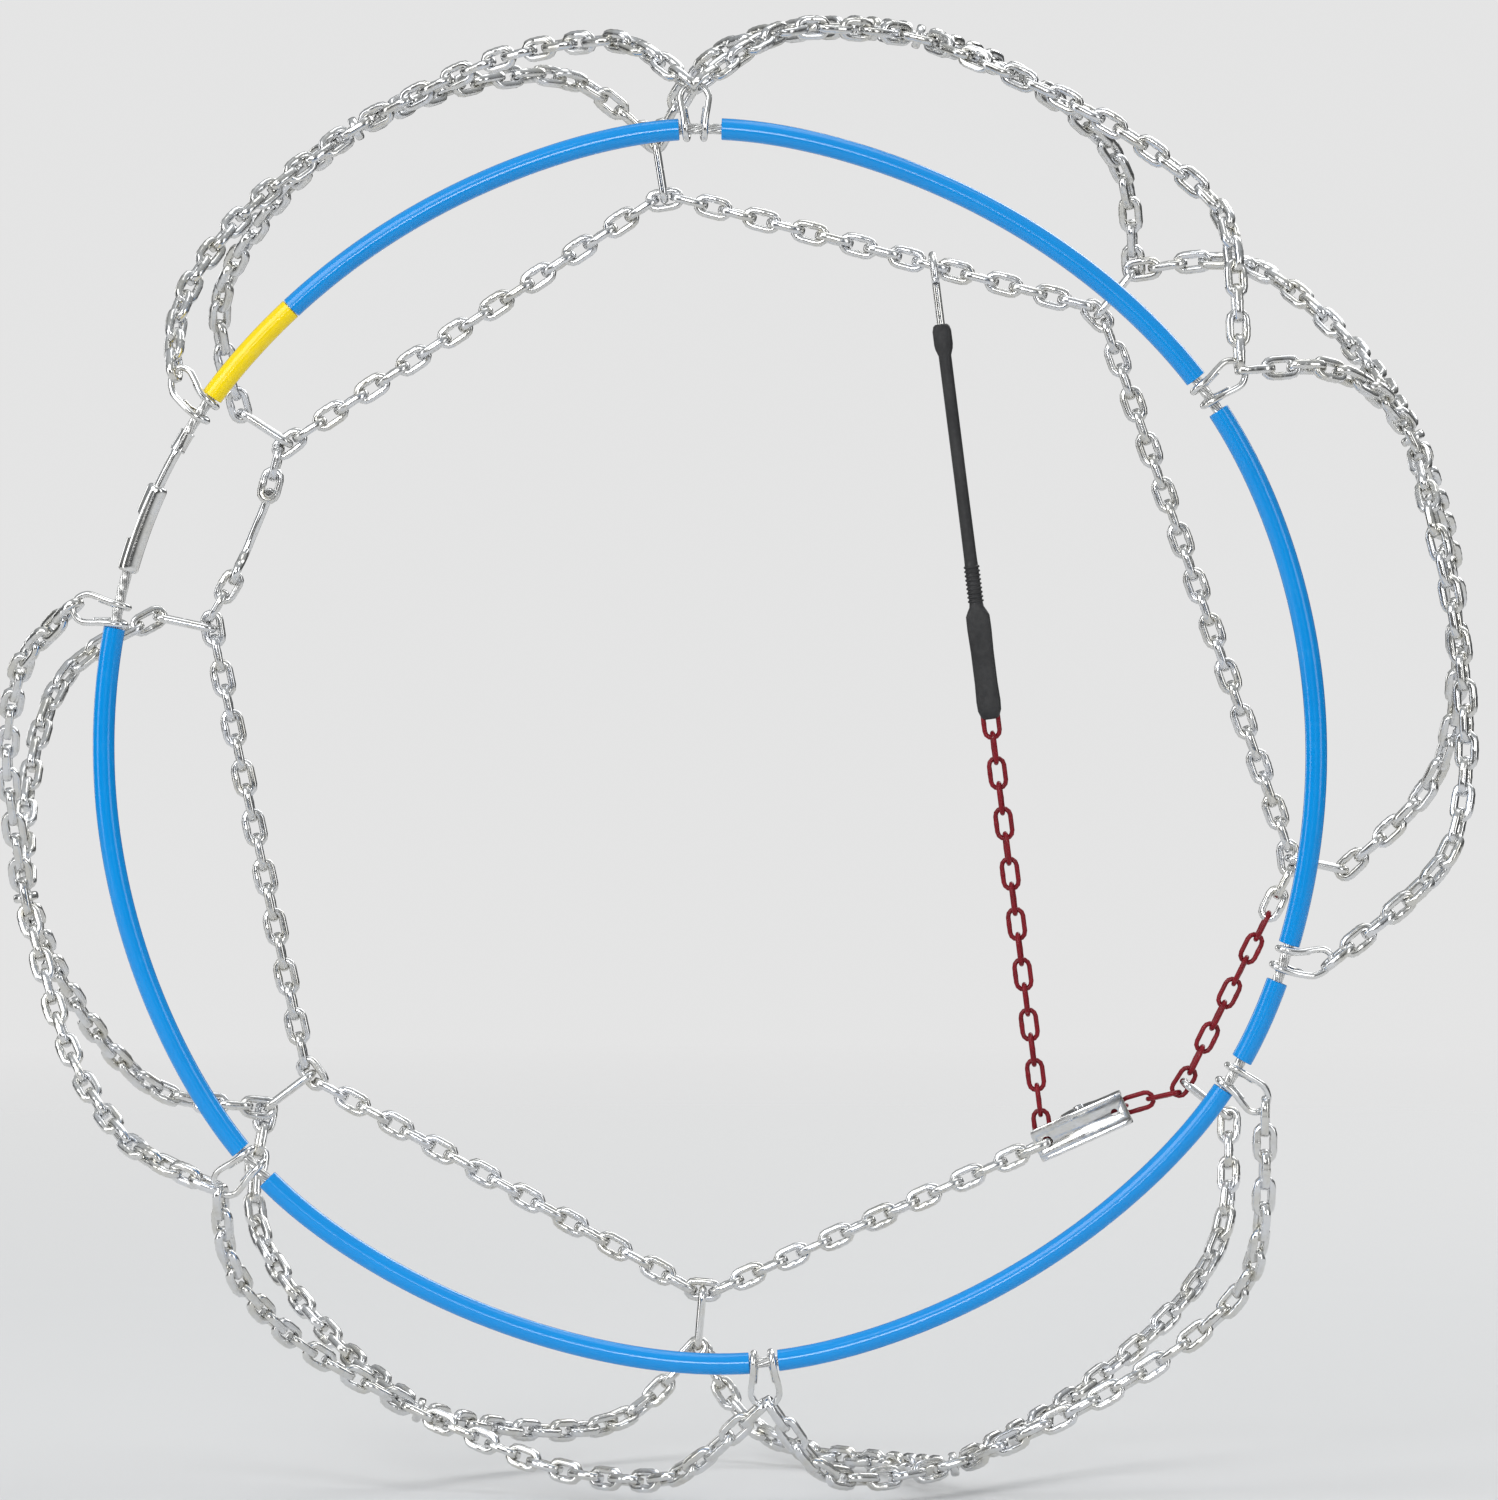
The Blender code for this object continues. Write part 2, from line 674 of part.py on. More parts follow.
def make_side_chains():
    """The two lengths of the outer side chain and the fixed end of the tension chain."""
    corner = {number: side_corner(number) for number in SIDE_CORNERS}
    closing = (corner[8] - corner[7]).normalized()
    frame = ratchet_frame()
    ratchet_end = frame @ Vector((RATCHET_LENGTH / 2 + 3 * MM, 0, 0))
    ratchet_end.y = SIDE_PLANE
    eye_end = corner[7] + closing * (CLOSURE_EYE - CLOSURE_EYE_RADIUS - CLOSURE_WIRE - 1 * MM)
    chain_line("side_chain_a", [ratchet_end, corner[5], corner[6], corner[7], eye_end], CHAIN_HALF, "zinc")
    hook_end = corner[7] + closing * (CLOSURE_EYE + CLOSURE_REACH + CLOSURE_WIRE + 1 * MM)
    tail = polar(SIDE_CORNERS[3] - 7, SIDE_RADIUS - 1 * MM, SIDE_PLANE)
    chain_line(
        "side_chain_b", [hook_end, corner[8], corner[1], corner[2], corner[3], tail], CHAIN_HALF, "zinc"
    )
    entry = frame @ Vector((-RATCHET_LENGTH / 2 - 2 * MM, TENSION_PLANE, 0))
    inside = frame @ Vector((6 * MM, TENSION_PLANE, 0))
    start = tail + (corner[4] - tail).normalized() * 2 * CHAIN_HALF
    chain_line("tension_chain_tail", [start, corner[4], entry, inside], TENSION_CHAIN_HALF, "red_paint")


def make_closure_hook():
    """The hook that closes the outer side: an eye, a shank and a finger bent towards the tire."""
    first, second = side_corner(7), side_corner(8)
    along = (second - first).normalized()
    front = Vector((0, 1, 0))
    place = Matrix((along, front, along.cross(front))).transposed().to_4x4()
    place.translation = first + along * CLOSURE_EYE
    points = []
    for index in range(8):
        turn = math.radians(112 + 37 * index)
        points.append(
            Vector((CLOSURE_EYE_RADIUS * math.cos(turn), CLOSURE_EYE_RADIUS * math.sin(turn), 0))
        )
    points += [
        Vector((8 * MM, CLOSURE_RISE - 1.2 * MM, 0)),
        Vector((13 * MM, CLOSURE_RISE, 0)),
        Vector((CLOSURE_REACH - 3.5 * MM, CLOSURE_RISE, 0)),
        Vector((CLOSURE_REACH - 1.1 * MM, CLOSURE_RISE - 1.1 * MM, 0)),
        Vector((CLOSURE_REACH, CLOSURE_RISE - 3.5 * MM, 0)),
        Vector((CLOSURE_REACH, -CLOSURE_FINGER, 0)),
    ]
    wire("closure_hook", points, CLOSURE_WIRE, "zinc", sides=8, matrix=place)


def make_ratchet():
    """The self-locking ratchet: channel, pivot pin, spring and pawl."""
    frame = ratchet_frame()
    half_width = RATCHET_WIDTH / 2
    base = box_mesh(
        "base",
        (RATCHET_LENGTH, RATCHET_SHEET, RATCHET_WIDTH),
        (0, RATCHET_BASE + RATCHET_SHEET / 2, 0),
    )
    housing = add_object("ratchet_housing", base, "zinc", frame)
    cheek_height = RATCHET_CHEEK_TOP - RATCHET_BASE
    pin_place = Vector((-2 * MM, PAWL_PIN_HEIGHT, 0))
    lower, upper = (RATCHET_LENGTH, 0), (RATCHET_LENGTH - 16 * MM, -8 * MM)
    for side, (length, shift) in ((1, lower), (-1, upper)):
        across = side * (half_width - RATCHET_SHEET / 2)
        cheek = box_mesh(
            "cheek",
            (length, cheek_height, RATCHET_SHEET),
            (shift, RATCHET_BASE + cheek_height / 2, across),
        )
        boolean(housing, cheek, "UNION")
        ear = box_mesh(
            "ear",
            (9 * MM, PAWL_PIN_HEIGHT + 4.5 * MM - RATCHET_BASE - 1 * MM, RATCHET_SHEET),
            (pin_place.x, (PAWL_PIN_HEIGHT + 4.5 * MM + RATCHET_BASE + 1 * MM) / 2, across),
        )
        boolean(housing, ear, "UNION")
    hole = cylinder_mesh(
        "pin_hole", PAWL_PIN_RADIUS + GAP, RATCHET_WIDTH * 2, Matrix.Translation(pin_place), sides=12
    )
    boolean(housing, hole, "DIFFERENCE")
    upright = Matrix.Rotation(math.pi / 2, 4, "X")
    upright.translation = (RATCHET_LENGTH / 2 - ANCHOR_INSET, RATCHET_BASE, 0)
    anchor = cylinder_mesh("anchor_hole", ANCHOR_RADIUS, 4 * RATCHET_SHEET, upright, sides=12)
    boolean(housing, anchor, "DIFFERENCE")

    pin_frame = frame @ Matrix.Translation(pin_place)
    pin_length = RATCHET_WIDTH + 2 * MM
    pin = cylinder_mesh("pawl_pin", PAWL_PIN_RADIUS, pin_length, Matrix.Identity(4), sides=10)
    add_object("pawl_pin", pin, "zinc", pin_frame)

    inner_width = RATCHET_WIDTH - 2 * RATCHET_SHEET
    barrel_radius = PAWL_PIN_RADIUS + GAP + 1.3 * MM
    barrel_length = 4 * MM
    barrel_shift = Matrix.Translation((0, 0, inner_width / 2 - 0.5 * MM - barrel_length / 2))
    barrel = cylinder_mesh("barrel", barrel_radius, barrel_length, barrel_shift, sides=12)
    tilt = Matrix.Rotation(-math.radians(PAWL_TILT), 4, "Z")
    pawl = add_object("ratchet_pawl", barrel, "zinc", pin_frame @ tilt)
    plate = box_mesh(
        "plate",
        (PAWL_LENGTH, PAWL_SHEET, inner_width - 1 * MM),
        (PAWL_LENGTH / 2 + 3.4 * MM, 0, 0),
    )
    boolean(pawl, plate, "UNION")
    web = box_mesh("web", (4 * MM, PAWL_SHEET, barrel_length), (2 * MM, 0, barrel_shift.translation.z))
    boolean(pawl, web, "UNION")
    bore = cylinder_mesh("bore", PAWL_PIN_RADIUS + GAP, 2 * inner_width, Matrix.Identity(4), sides=12)
    boolean(pawl, bore, "DIFFERENCE")

    turns, coil_radius, coil_wire = 3, PAWL_PIN_RADIUS + 0.85 * MM, 0.4 * MM
    coil = []
    for index in range(turns * 10 + 1):
        turn = math.tau * index / 10
        lift = -inner_width / 2 + 1.2 * MM + 1.1 * MM * index / 10
        coil.append(Vector((coil_radius * math.cos(turn), coil_radius * math.sin(turn), lift)))
    wire("pawl_spring", coil, coil_wire, "cable_steel", sides=4, matrix=pin_frame)


def hook_distance():
    """How far along the tension line its hook goes round the outer side chain."""
    first, second = side_corner(1), side_corner(2)
    chain = (second - first).xz
    offset = (first - LINE_FOOT).xz
    line = LINE_DIRECTION.xz
    return (offset.x * chain.y - offset.y * chain.x) / (line.x * chain.y - line.y * chain.x)


def make_tension_line():
    """The tension chain's free run, the rubber tensioner and its hook, all on one straight line."""

    def on_line(distance, rise=0.0):
        return LINE_FOOT + LINE_DIRECTION * distance + Vector((0, rise, 0))

    ends = [on_line(6 * MM), on_line(CHAIN_TOP)]
    run = wire("tension_chain_run", ends, TENSION_CHAIN_HALF, "red_paint", sides=4)
    side = Vector((0, 1, 0)).cross(LINE_DIRECTION)
    place = Matrix((side, Vector((0, 1, 0)), LINE_DIRECTION)).transposed().to_4x4()
    place.translation = on_line(CHAIN_TOP + GAP)
    strap = add_object("rubber_tensioner", strap_mesh(), "black_rubber", place)
    centre = hook_distance()
    points = [on_line(STRAP_TOP + GAP + HOOK_WIRE / 2), on_line(centre)]
    for index in range(1, 7):
        turn = math.radians(30 * index)
        lift = HOOK_BEND * (math.cos(turn) - 1)
        points.append(on_line(centre + HOOK_BEND * math.sin(turn), lift))
    points.append(on_line(centre - HOOK_TIP, -2 * HOOK_BEND))
    hook = wire("tensioner_hook", points, HOOK_WIRE, "zinc", sides=8)
    carry(joint_empty("tension_line", Matrix.Translation(LINE_FOOT)), run, strap)
    carry(joint_empty("hook_line", Matrix.Translation(on_line(STRAP_TOP))), hook)


def strap_mesh():
    """The rubber tensioner along its own Z axis: a wide grip, five ribs and a narrow round cord."""
    length = (STRAP_TOP - CHAIN_TOP - GAP) / MM
    stations = [(0, STRAP_FOOT), (4, STRAP_GRIP)]
    stations += [(STRAP_GRIP_END, STRAP_GRIP), (STRAP_GRIP_END + 4, STRAP_NECK)]
    for rib in range(STRAP_RIBS):
        foot = STRAP_GRIP_END + 6 + STRAP_RIB_STEP * rib
        stations += [(foot, STRAP_NECK), (foot + 0.6, STRAP_RIB)]
        stations += [(foot + 1.6, STRAP_RIB), (foot + 2.2, STRAP_NECK)]
    stations += [(STRAP_GRIP_END + 26, STRAP_CORD), (length - 12, STRAP_CORD)]
    stations += [(length - 9, STRAP_FOOT), (length - 2, STRAP_FOOT), (length, STRAP_NECK)]
    mesh = bpy.data.meshes.new("rubber_tensioner")
    shape = bmesh.new()
    rings = []
    for height, (half_width, half_thick) in stations:
        ring = []
        for index in range(STRAP_SIDES):
            turn = math.tau * index / STRAP_SIDES
            ring.append(
                shape.verts.new(
                    (half_width * MM * math.cos(turn), half_thick * MM * math.sin(turn), height * MM)
                )
            )
        rings.append(ring)
    for low, high in zip(rings, rings[1:]):
        for index in range(STRAP_SIDES):
            after = (index + 1) % STRAP_SIDES
            shape.faces.new((low[index], low[after], high[after], high[index]))
    shape.faces.new(rings[0][::-1])
    shape.faces.new(rings[-1])
    bmesh.ops.recalc_face_normals(shape, faces=shape.faces)
    shape.to_mesh(mesh)
    shape.free()
    return mesh


def subdivide_along(thing, cuts):
    """Cuts a turned piece's long edges so that it can bend."""
    shape = bmesh.new()
    shape.from_mesh(thing.data)
    long_edges = [edge for edge in shape.edges if edge.calc_length() > 20 * MM]
    bmesh.ops.subdivide_edges(shape, edges=long_edges, cuts=cuts, use_grid_fill=True)
    shape.to_mesh(thing.data)
    shape.free()


clear_scene()
parts = new_collection("tire_snow_chain")
cutters = new_collection("cutters")
SECTION = section_table()
make_connector(make_hoop())
side_bows = make_side_hooks()
make_strands(make_shackles(), side_bows)
make_junction_links()
make_side_chains()
make_closure_hook()
make_ratchet()
make_tension_line()
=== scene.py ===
"""Looks of a fitted tire snow chain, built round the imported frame.

Metres, +Z up. The wheel's axle is the Y axis and its centre is the origin. The vehicle side, with the
blue hoop, faces -Y. Angles run about the axle from +X towards +Z, as seen from the vehicle side.
"""

import random
from math import copysign, cos, cosh, degrees, hypot, pi, radians, sin, tan, tau

import bmesh
import bpy
from mathutils import Matrix, Vector


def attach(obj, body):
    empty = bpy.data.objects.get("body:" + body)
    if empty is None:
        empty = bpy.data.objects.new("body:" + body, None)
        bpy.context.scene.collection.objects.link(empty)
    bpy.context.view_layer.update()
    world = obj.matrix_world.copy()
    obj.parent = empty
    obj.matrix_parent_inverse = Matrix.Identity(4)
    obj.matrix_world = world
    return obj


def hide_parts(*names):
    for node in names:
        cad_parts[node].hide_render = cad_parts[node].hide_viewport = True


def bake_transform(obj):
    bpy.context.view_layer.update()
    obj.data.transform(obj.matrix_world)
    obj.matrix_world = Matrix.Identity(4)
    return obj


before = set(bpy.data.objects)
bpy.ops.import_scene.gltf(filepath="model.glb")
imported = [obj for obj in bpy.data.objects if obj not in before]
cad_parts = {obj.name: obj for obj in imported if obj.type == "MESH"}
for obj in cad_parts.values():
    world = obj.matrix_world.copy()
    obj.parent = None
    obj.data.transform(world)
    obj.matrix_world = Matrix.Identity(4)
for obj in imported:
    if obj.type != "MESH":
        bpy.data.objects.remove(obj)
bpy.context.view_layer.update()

MM = 0.001
UP = Vector((0, 0, 1))
OUT = Vector((0, 1, 0))
BASE = "net"

# The tire's section that guides the chain.
WIDEST_RADIUS = 258 * MM
CROWN_HEIGHT = 55 * MM
HALF_SECTION = 106 * MM
SECTION_POWER = 3.2
CHAIN_STAND_OFF = 4.8 * MM

# Hoop.
HOOP_CENTRE = Vector((-14.3, -111.5, 5.6)) * MM
HOOP_RADIUS = 255.5 * MM

# The net pulls the hoop out of round: millimetres outwards by angle, over about 12 degrees each way.
HOOP_PULLS = {35.7: 2.7, 91.3: 6.7, 152.0: 2.5, 223.0: 5.7, 274.0: 4.8, 327.9: 5.0}
PULL_SPREAD = 12
CABLE_RADIUS = 2.25 * MM
CABLE_STRANDS = 12
CABLE_LAY = 55 * MM
CABLE_STEP = 2 * MM
STRAND_FILL = 1.06
TUBE_RADIUS = 4.6 * MM
TUBE_BORE = 2.8 * MM

# Each shackle's angle on the hoop and lean along it, in degrees.
SHACKLES = {
    1: (91.3, 0),
    2: (35.7, 1),
    3: (340.0, 18),
    4: (327.9, -10),
    5: (275.0, -1),
    6: (221.9, 0),
    7: (167.1, 3),
    8: (146.0, -20),
}
# Bare cable on each side of a shackle, in degrees: towards the lower angles, then the higher.
BARE_CABLE = {
    1: (2.44, 1.49),
    2: (1.98, 1.64),
    3: (2.18, 1.47),
    4: (1.35, 1.89),
    5: (1.28, 1.42),
    6: (1.38, 2.29),
    7: (1.28, 1.33),
    8: (1.36, 1.28),
}
SHACKLE_WIRE = 1.4 * MM
EYE_RADIUS = 4.15 * MM
EYE_HALF_SPACING = 4.1 * MM
BOW_LENGTH = 18.9 * MM
BOW_HALF_WIDTH = 5.95 * MM
BOW_DROP = 1.8 * MM
TUBE_RUNS = [(2, 1), (7, 6), (6, 5), (5, 4), (4, 3), (3, 2)]
YELLOW_TUBE = (133.5, 144.64)
TUBE_GAP = 0.08
CABLE_SPLIT = 138.0
CABLE_GAP = 0.1
CABLE_GRIP = 7 * MM
FERRULE = (148.6, 150.7)
PIN_GAP = 0.08
SLEEVE = (154.4, 163.0)
PIN_RADIUS = 2.15 * MM
PIN_HEAD_RADIUS = 3.1 * MM
PIN_HEAD_DEPTH = (11.5 * MM, 14.5 * MM)
SLEEVE_RADIUS = 4.4 * MM
SLEEVE_BORE = 3.5 * MM

# Links: outer width, and the wire's thickness in the link's plane and through it.
NET_LINK = (10.4 * MM, 3.25 * MM, 3.6 * MM)
NET_PITCH = 11.0 * MM
RED_LINK = (8.8 * MM, 2.2 * MM, 2.2 * MM)
RED_PITCH = 11.4 * MM

# The angle about the axle, and the distance from the middle of the tread in mm.
JUNCTIONS = {
    "12": (76.5, -40),
    "23": (25.6, -48),
    "45": (286.4, -45),
    "56": (243.5, -8),
    "67": (191.3, -8),
    "81": (122.0, -8),
}
INNER_LEGS = {
    (1, "81"): [(98, -95), (101, -76), (110, -42)],
    (1, "12"): [(89, -95), (86, -76), (81.5, -64)],
    (2, "12"): [(46.5, -101), (50, -82), (58, -76), (65, -74), (71.5, -66)],
    (2, "23"): [(34.5, -108), (31.5, -88), (29.5, -74)],
    (3, "23"): [(351.5, -104), (357, -92), (365, -88), (373, -86), (380, -80)],
    (4, "45"): [(318, -108), (313, -82), (306, -74), (298, -76), (291, -70)],
    (5, "45"): [(276, -98), (278.5, -80), (282, -66)],
    (5, "56"): [(265.5, -98), (262.4, -80), (255, -48)],
    (6, "56"): [(223.4, -97), (227, -78), (233, -45)],
    (6, "67"): [(214.5, -100), (211.5, -82), (204, -48)],
    (7, "67"): [(169.5, -101), (172.5, -80), (180, -45)],
    (8, "81"): [(142.2, -94), (138, -74), (131.5, -45)],
}
INNER_STRANDS = [(1, "12", 2), (2, "23", 3), (4, "45", 5), (5, "56", 6), (6, "67", 7), (8, "81", 1)]
APEX_OFFSET = 7.5
PAIRED_STEP = 2.1 * MM
OUTER_PAIRED_STEP = 1.9 * MM

# Outer side.
SIDE_PLANE = 110 * MM
SIDE_RADIUS = 243 * MM
SIDE_CORNERS = {1: 99, 2: 51, 3: -12, 4: -38, 5: -95, 6: 217, 7: 168, 8: 147}
SIDE_HOOK_REACH = (241.2 * MM, 270.3 * MM)
SIDE_HOOK_WIDTH = 11 * MM
SIDE_HOOK_WIRE = 1.8 * MM
OUTER_CROSSINGS = [(0.22, 103), (0.42, 80), (0.72, 44)]
CLOSURE_EYE = 27.2 * MM
CLOSURE_REACH = 38 * MM
CLOSURE_WIRE = 2.0 * MM
CLOSURE_EYE_RADIUS = 4.2 * MM
CLOSURE_RISE = 6.6 * MM
CLOSURE_FINGER = 5 * MM
TENSION_PLANE = 118 * MM
LINE_FOOT = Vector((129.5, 118, -174)) * MM
LINE_DIRECTION = Vector((-0.1257, 0, 0.99207)).normalized()
CHAIN_TOP = 186 * MM
STRAP_TOP = 362 * MM
HOOK_BEND = 7.5 * MM
HOOK_WIRE = 1.75 * MM
HOOK_TIP = 3 * MM
RATCHET_ANGLE = 204
RATCHET_LENGTH = 44 * MM
RATCHET_WIDTH = 15 * MM
RATCHET_SHEET = 1.8 * MM
PLATE_EDGE = 0.25 * MM
RATCHET_BASE = 111 * MM
RATCHET_CHEEK_TOP = 124 * MM
ANCHOR_INSET = 5.5 * MM
PAWL_PIN_HEIGHT = 128 * MM
PAWL_PIN_RADIUS = 1.5 * MM
PAWL_LENGTH = 17 * MM
PAWL_SHEET = 1.8 * MM
PAWL_TILT = 12
SPRING_TURNS = 3.5
SPRING_WIRE = 0.42 * MM

FIRST_ACROSS = Vector((0.31, 0.22, 0.93))
CAP_SIZE = 0.72
CAP_RISE = 0.3
SHARP_EDGE = 40
CUT_SHARP_EDGE = 35

chance = random.Random(20)


# ---- places on the tire and the hoop


def polar(angle, radius, y=0.0):
    turn = radians(angle)
    return Vector((radius * cos(turn), y, radius * sin(turn)))


def placed(lengthwise, across, origin):
    """A place with its X and Y axes along two directions that are square to each other."""
    matrix = Matrix((lengthwise, across, lengthwise.cross(across))).transposed().to_4x4()
    matrix.translation = origin
    return matrix


def hoop_pull(angle):
    """How far the net pulls the hoop outwards at an angle."""
    pull = 0.0
    for place, most in HOOP_PULLS.items():
        apart = (angle - place + 180) % 360 - 180
        pull += most * MM / cosh(apart / PULL_SPREAD)
    return pull


def hoop_point(angle, radius=HOOP_RADIUS, out=0.0):
    return HOOP_CENTRE + polar(angle, radius + hoop_pull(angle), -out)


def section_table(count=600):
    """Distance along the chain's path over the tire's section, with y and radius at each distance."""
    rows = []
    distance = 0.0
    last = None
    for step in range(count + 1):
        turn = pi / 2 * step / count
        y = (HALF_SECTION + CHAIN_STAND_OFF) * sin(turn) ** (2 / SECTION_POWER)
        rise = (CROWN_HEIGHT + CHAIN_STAND_OFF) * cos(turn) ** (2 / SECTION_POWER)
        radius = WIDEST_RADIUS + rise
        if last is not None:
            distance += hypot(y - last[0], radius - last[1])
        last = (y, radius)
        rows.append((distance, y, radius))
    return rows


SECTION = section_table()


def guide_point(angle, along):
    """A point on the chain's path over the tire: along is in mm from the middle of the tread."""
    target = abs(along) * MM
    for (d0, y0, r0), (d1, y1, r1) in zip(SECTION, SECTION[1:]):
        if d1 >= target:
            share = (target - d0) / (d1 - d0)
            y = copysign(y0 + (y1 - y0) * share, along)
            return polar(angle, r0 + (r1 - r0) * share, y)
    raise ValueError("past the tire's widest point")


def tire_normal(point):
    """The direction out of the tire's surface near a point."""
    radius = point.xz.length
    sideways = (abs(point.y) / HALF_SECTION) ** (SECTION_POWER - 1) / HALF_SECTION
    outward = (max(0.0, radius - WIDEST_RADIUS) / CROWN_HEIGHT) ** (SECTION_POWER - 1) / CROWN_HEIGHT
    radial = Vector((point.x, 0, point.z)) / radius
    return (radial * outward + OUT * copysign(sideways, point.y)).normalized()


def smooth_path(points, step):
    """Points about a step apart on a smooth curve through the given ones."""
    ends = [points[0] * 2 - points[1], *points, points[-1] * 2 - points[-2]]
    path = [points[0]]
    for before, start, end, after in zip(ends, ends[1:], ends[2:], ends[3:]):
        reach = (end - start).length
        count = max(1, round(reach / step))
        leave = (end - before).normalized() * reach
        arrive = (after - start).normalized() * reach
        for index in range(1, count + 1):
            t = index / count
            path.append(
                start * (2 * t**3 - 3 * t**2 + 1)
                + leave * (t**3 - 2 * t**2 + t)
                + end * (3 * t**2 - 2 * t**3)
                + arrive * (t**3 - t**2)
            )
    return path


def path_length(path):
    return sum((b - a).length for a, b in zip(path, path[1:]))


def spaced(path, count):
    """count + 1 points at equal distances along a path."""
    step = path_length(path) / count
    points = [path[0].copy()]
    travelled, wanted = 0.0, step
    for start, end in zip(path, path[1:]):
        length = (end - start).length
        while len(points) < count and travelled + length >= wanted:
            points.append(start.lerp(end, (wanted - travelled) / length))
            wanted += step
        travelled += length
    points.append(path[-1].copy())
    return points


# ---- mesh code


class Shape:
    """Points and faces of one piece."""

    def __init__(self):
        self.points = []
        self.faces = []

    def rings(self, rings, closed=False):
        """Skins a row of rings that all have the same number of points."""
        base, sides = len(self.points), len(rings[0])
        for ring in rings:
            self.points.extend(ring)
        for index in range(len(rings) if closed else len(rings) - 1):
            low = base + index * sides
            high = base + (index + 1) % len(rings) * sides
            for side in range(sides):
                after = (side + 1) % sides
                self.faces.append((low + side, low + after, high + after, high + side))
        if not closed:
            self.faces.append(tuple(base + side for side in reversed(range(sides))))
            self.faces.append(tuple(base + (len(rings) - 1) * sides + side for side in range(sides)))
        return self

    def mesh(self, name):
        made = bpy.data.meshes.new(name)
        made.from_pydata([tuple(point) for point in self.points], [], self.faces)
        tidy = bmesh.new()
        tidy.from_mesh(made)
        bmesh.ops.recalc_face_normals(tidy, faces=tidy.faces)
        tidy.to_mesh(made)
        tidy.free()
        return made


def frames_along(path):
    """Two directions across the path at each point, turning as little as they can."""
    tangents = []
    for before, after in zip([path[0], *path], [*path[1:], path[-1]]):
        tangents.append((after - before).normalized())
    across = (FIRST_ACROSS - tangents[0] * FIRST_ACROSS.dot(tangents[0])).normalized()
    rows = [(across, tangents[0].cross(across))]
    for before, tangent in zip(tangents, tangents[1:]):
        across = before.rotation_difference(tangent) @ across
        across = (across - tangent * across.dot(tangent)).normalized()
        rows.append((across, tangent.cross(across)))
    return rows


def wire(path, radius, sides):
    """A round wire with slightly rounded ends."""
    turns = [tau * k / sides for k in range(sides)]
    rings = []
    for point, (a, b) in zip(path, frames_along(path)):
        rings.append([point + (a * cos(turn) + b * sin(turn)) * radius for turn in turns])
    caps = []
    for ring, end, inner in ((rings[0], path[0], path[1]), (rings[-1], path[-1], path[-2])):
        rise = (end - inner).normalized() * radius * CAP_RISE
        caps.append([end + (corner - end) * CAP_SIZE + rise for corner in ring])
    return Shape().rings([caps[0], *rings, caps[1]])


def scene_object(name, data):
    made = bpy.data.objects.new(name, data)
    bpy.context.scene.collection.objects.link(made)
    return made


def add_piece(name, node, shape, finish, body=BASE, matrix=None, sharp=SHARP_EDGE):
    """Makes a piece in place of a CAD node, from a shape or a mesh, smooth but for its sharp edges.

    Without a body, the piece is not attached to any body."""
    material, slot = finish
    data = shape.mesh(name) if isinstance(shape, Shape) else shape
    data.shade_smooth()
    data.set_sharp_from_angle(angle=radians(sharp))
    piece = scene_object(name, data)
    data.materials.clear()
    data.materials.append(material)
    if matrix is not None:
        data.transform(matrix)
    if body:
        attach(piece, body)
    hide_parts(node)
    return piece


def evaluated_mesh(item):
    graph = bpy.context.evaluated_depsgraph_get()
    return bpy.data.meshes.new_from_object(item.evaluated_get(graph))


def cut(piece, shapes, operation="DIFFERENCE"):
    """Cuts or joins shapes with a piece, for good."""
    for index, mesh in enumerate(shapes):
        tool = scene_object(f"{piece.name}_cut_{index}", mesh)
        change = piece.modifiers.new("cut", "BOOLEAN")
        change.operation = operation
        change.solver = "EXACT"
        change.object = tool
        made = evaluated_mesh(piece)
        piece.modifiers.clear()
        piece.data = made
        bpy.data.objects.remove(tool)
    piece.data.shade_smooth()
    piece.data.set_sharp_from_angle(angle=radians(CUT_SHARP_EDGE))
    return piece


def lathe(profile, sides=40):
    """Rings of a closed profile of (x, radius), turned about its own X axis."""
    turns = [tau * k / sides for k in range(sides)]
    return [
        [Vector((x, radius * cos(turn), radius * sin(turn))) for turn in turns]
        for x, radius in profile
    ]


def on_hoop(rings, start_angle):
    """Bends rings turned about X so that their axis follows the hoop."""

    def bend(corner):
        angle = start_angle + degrees(corner.x / HOOP_RADIUS)
        return hoop_point(angle, HOOP_RADIUS + corner.y, corner.z)

    return [[bend(corner) for corner in ring] for ring in rings]


def dense(profile, step):
    """A profile with its long straight edges split into steps."""
    rows = []
    for (x0, r0), (x1, r1) in zip(profile, profile[1:] + profile[:1]):
        count = max(1, round(abs(x1 - x0) / step))
        for index in range(count):
            rows.append((x0 + (x1 - x0) * index / count, r0 + (r1 - r0) * index / count))
    return rows


# ---- chain


def squircle(width, depth, sides=12, power=3.0):
    """A section with flat sides and round edges."""
    rows = []
    for index in range(sides):
        turn = tau * (index + 0.5) / sides
        u, v = cos(turn), sin(turn)
        rows.append(
            (
                width / 2 * copysign(abs(u) ** (2 / power), u),
                depth / 2 * copysign(abs(v) ** (2 / power), v),
            )
        )
    return rows


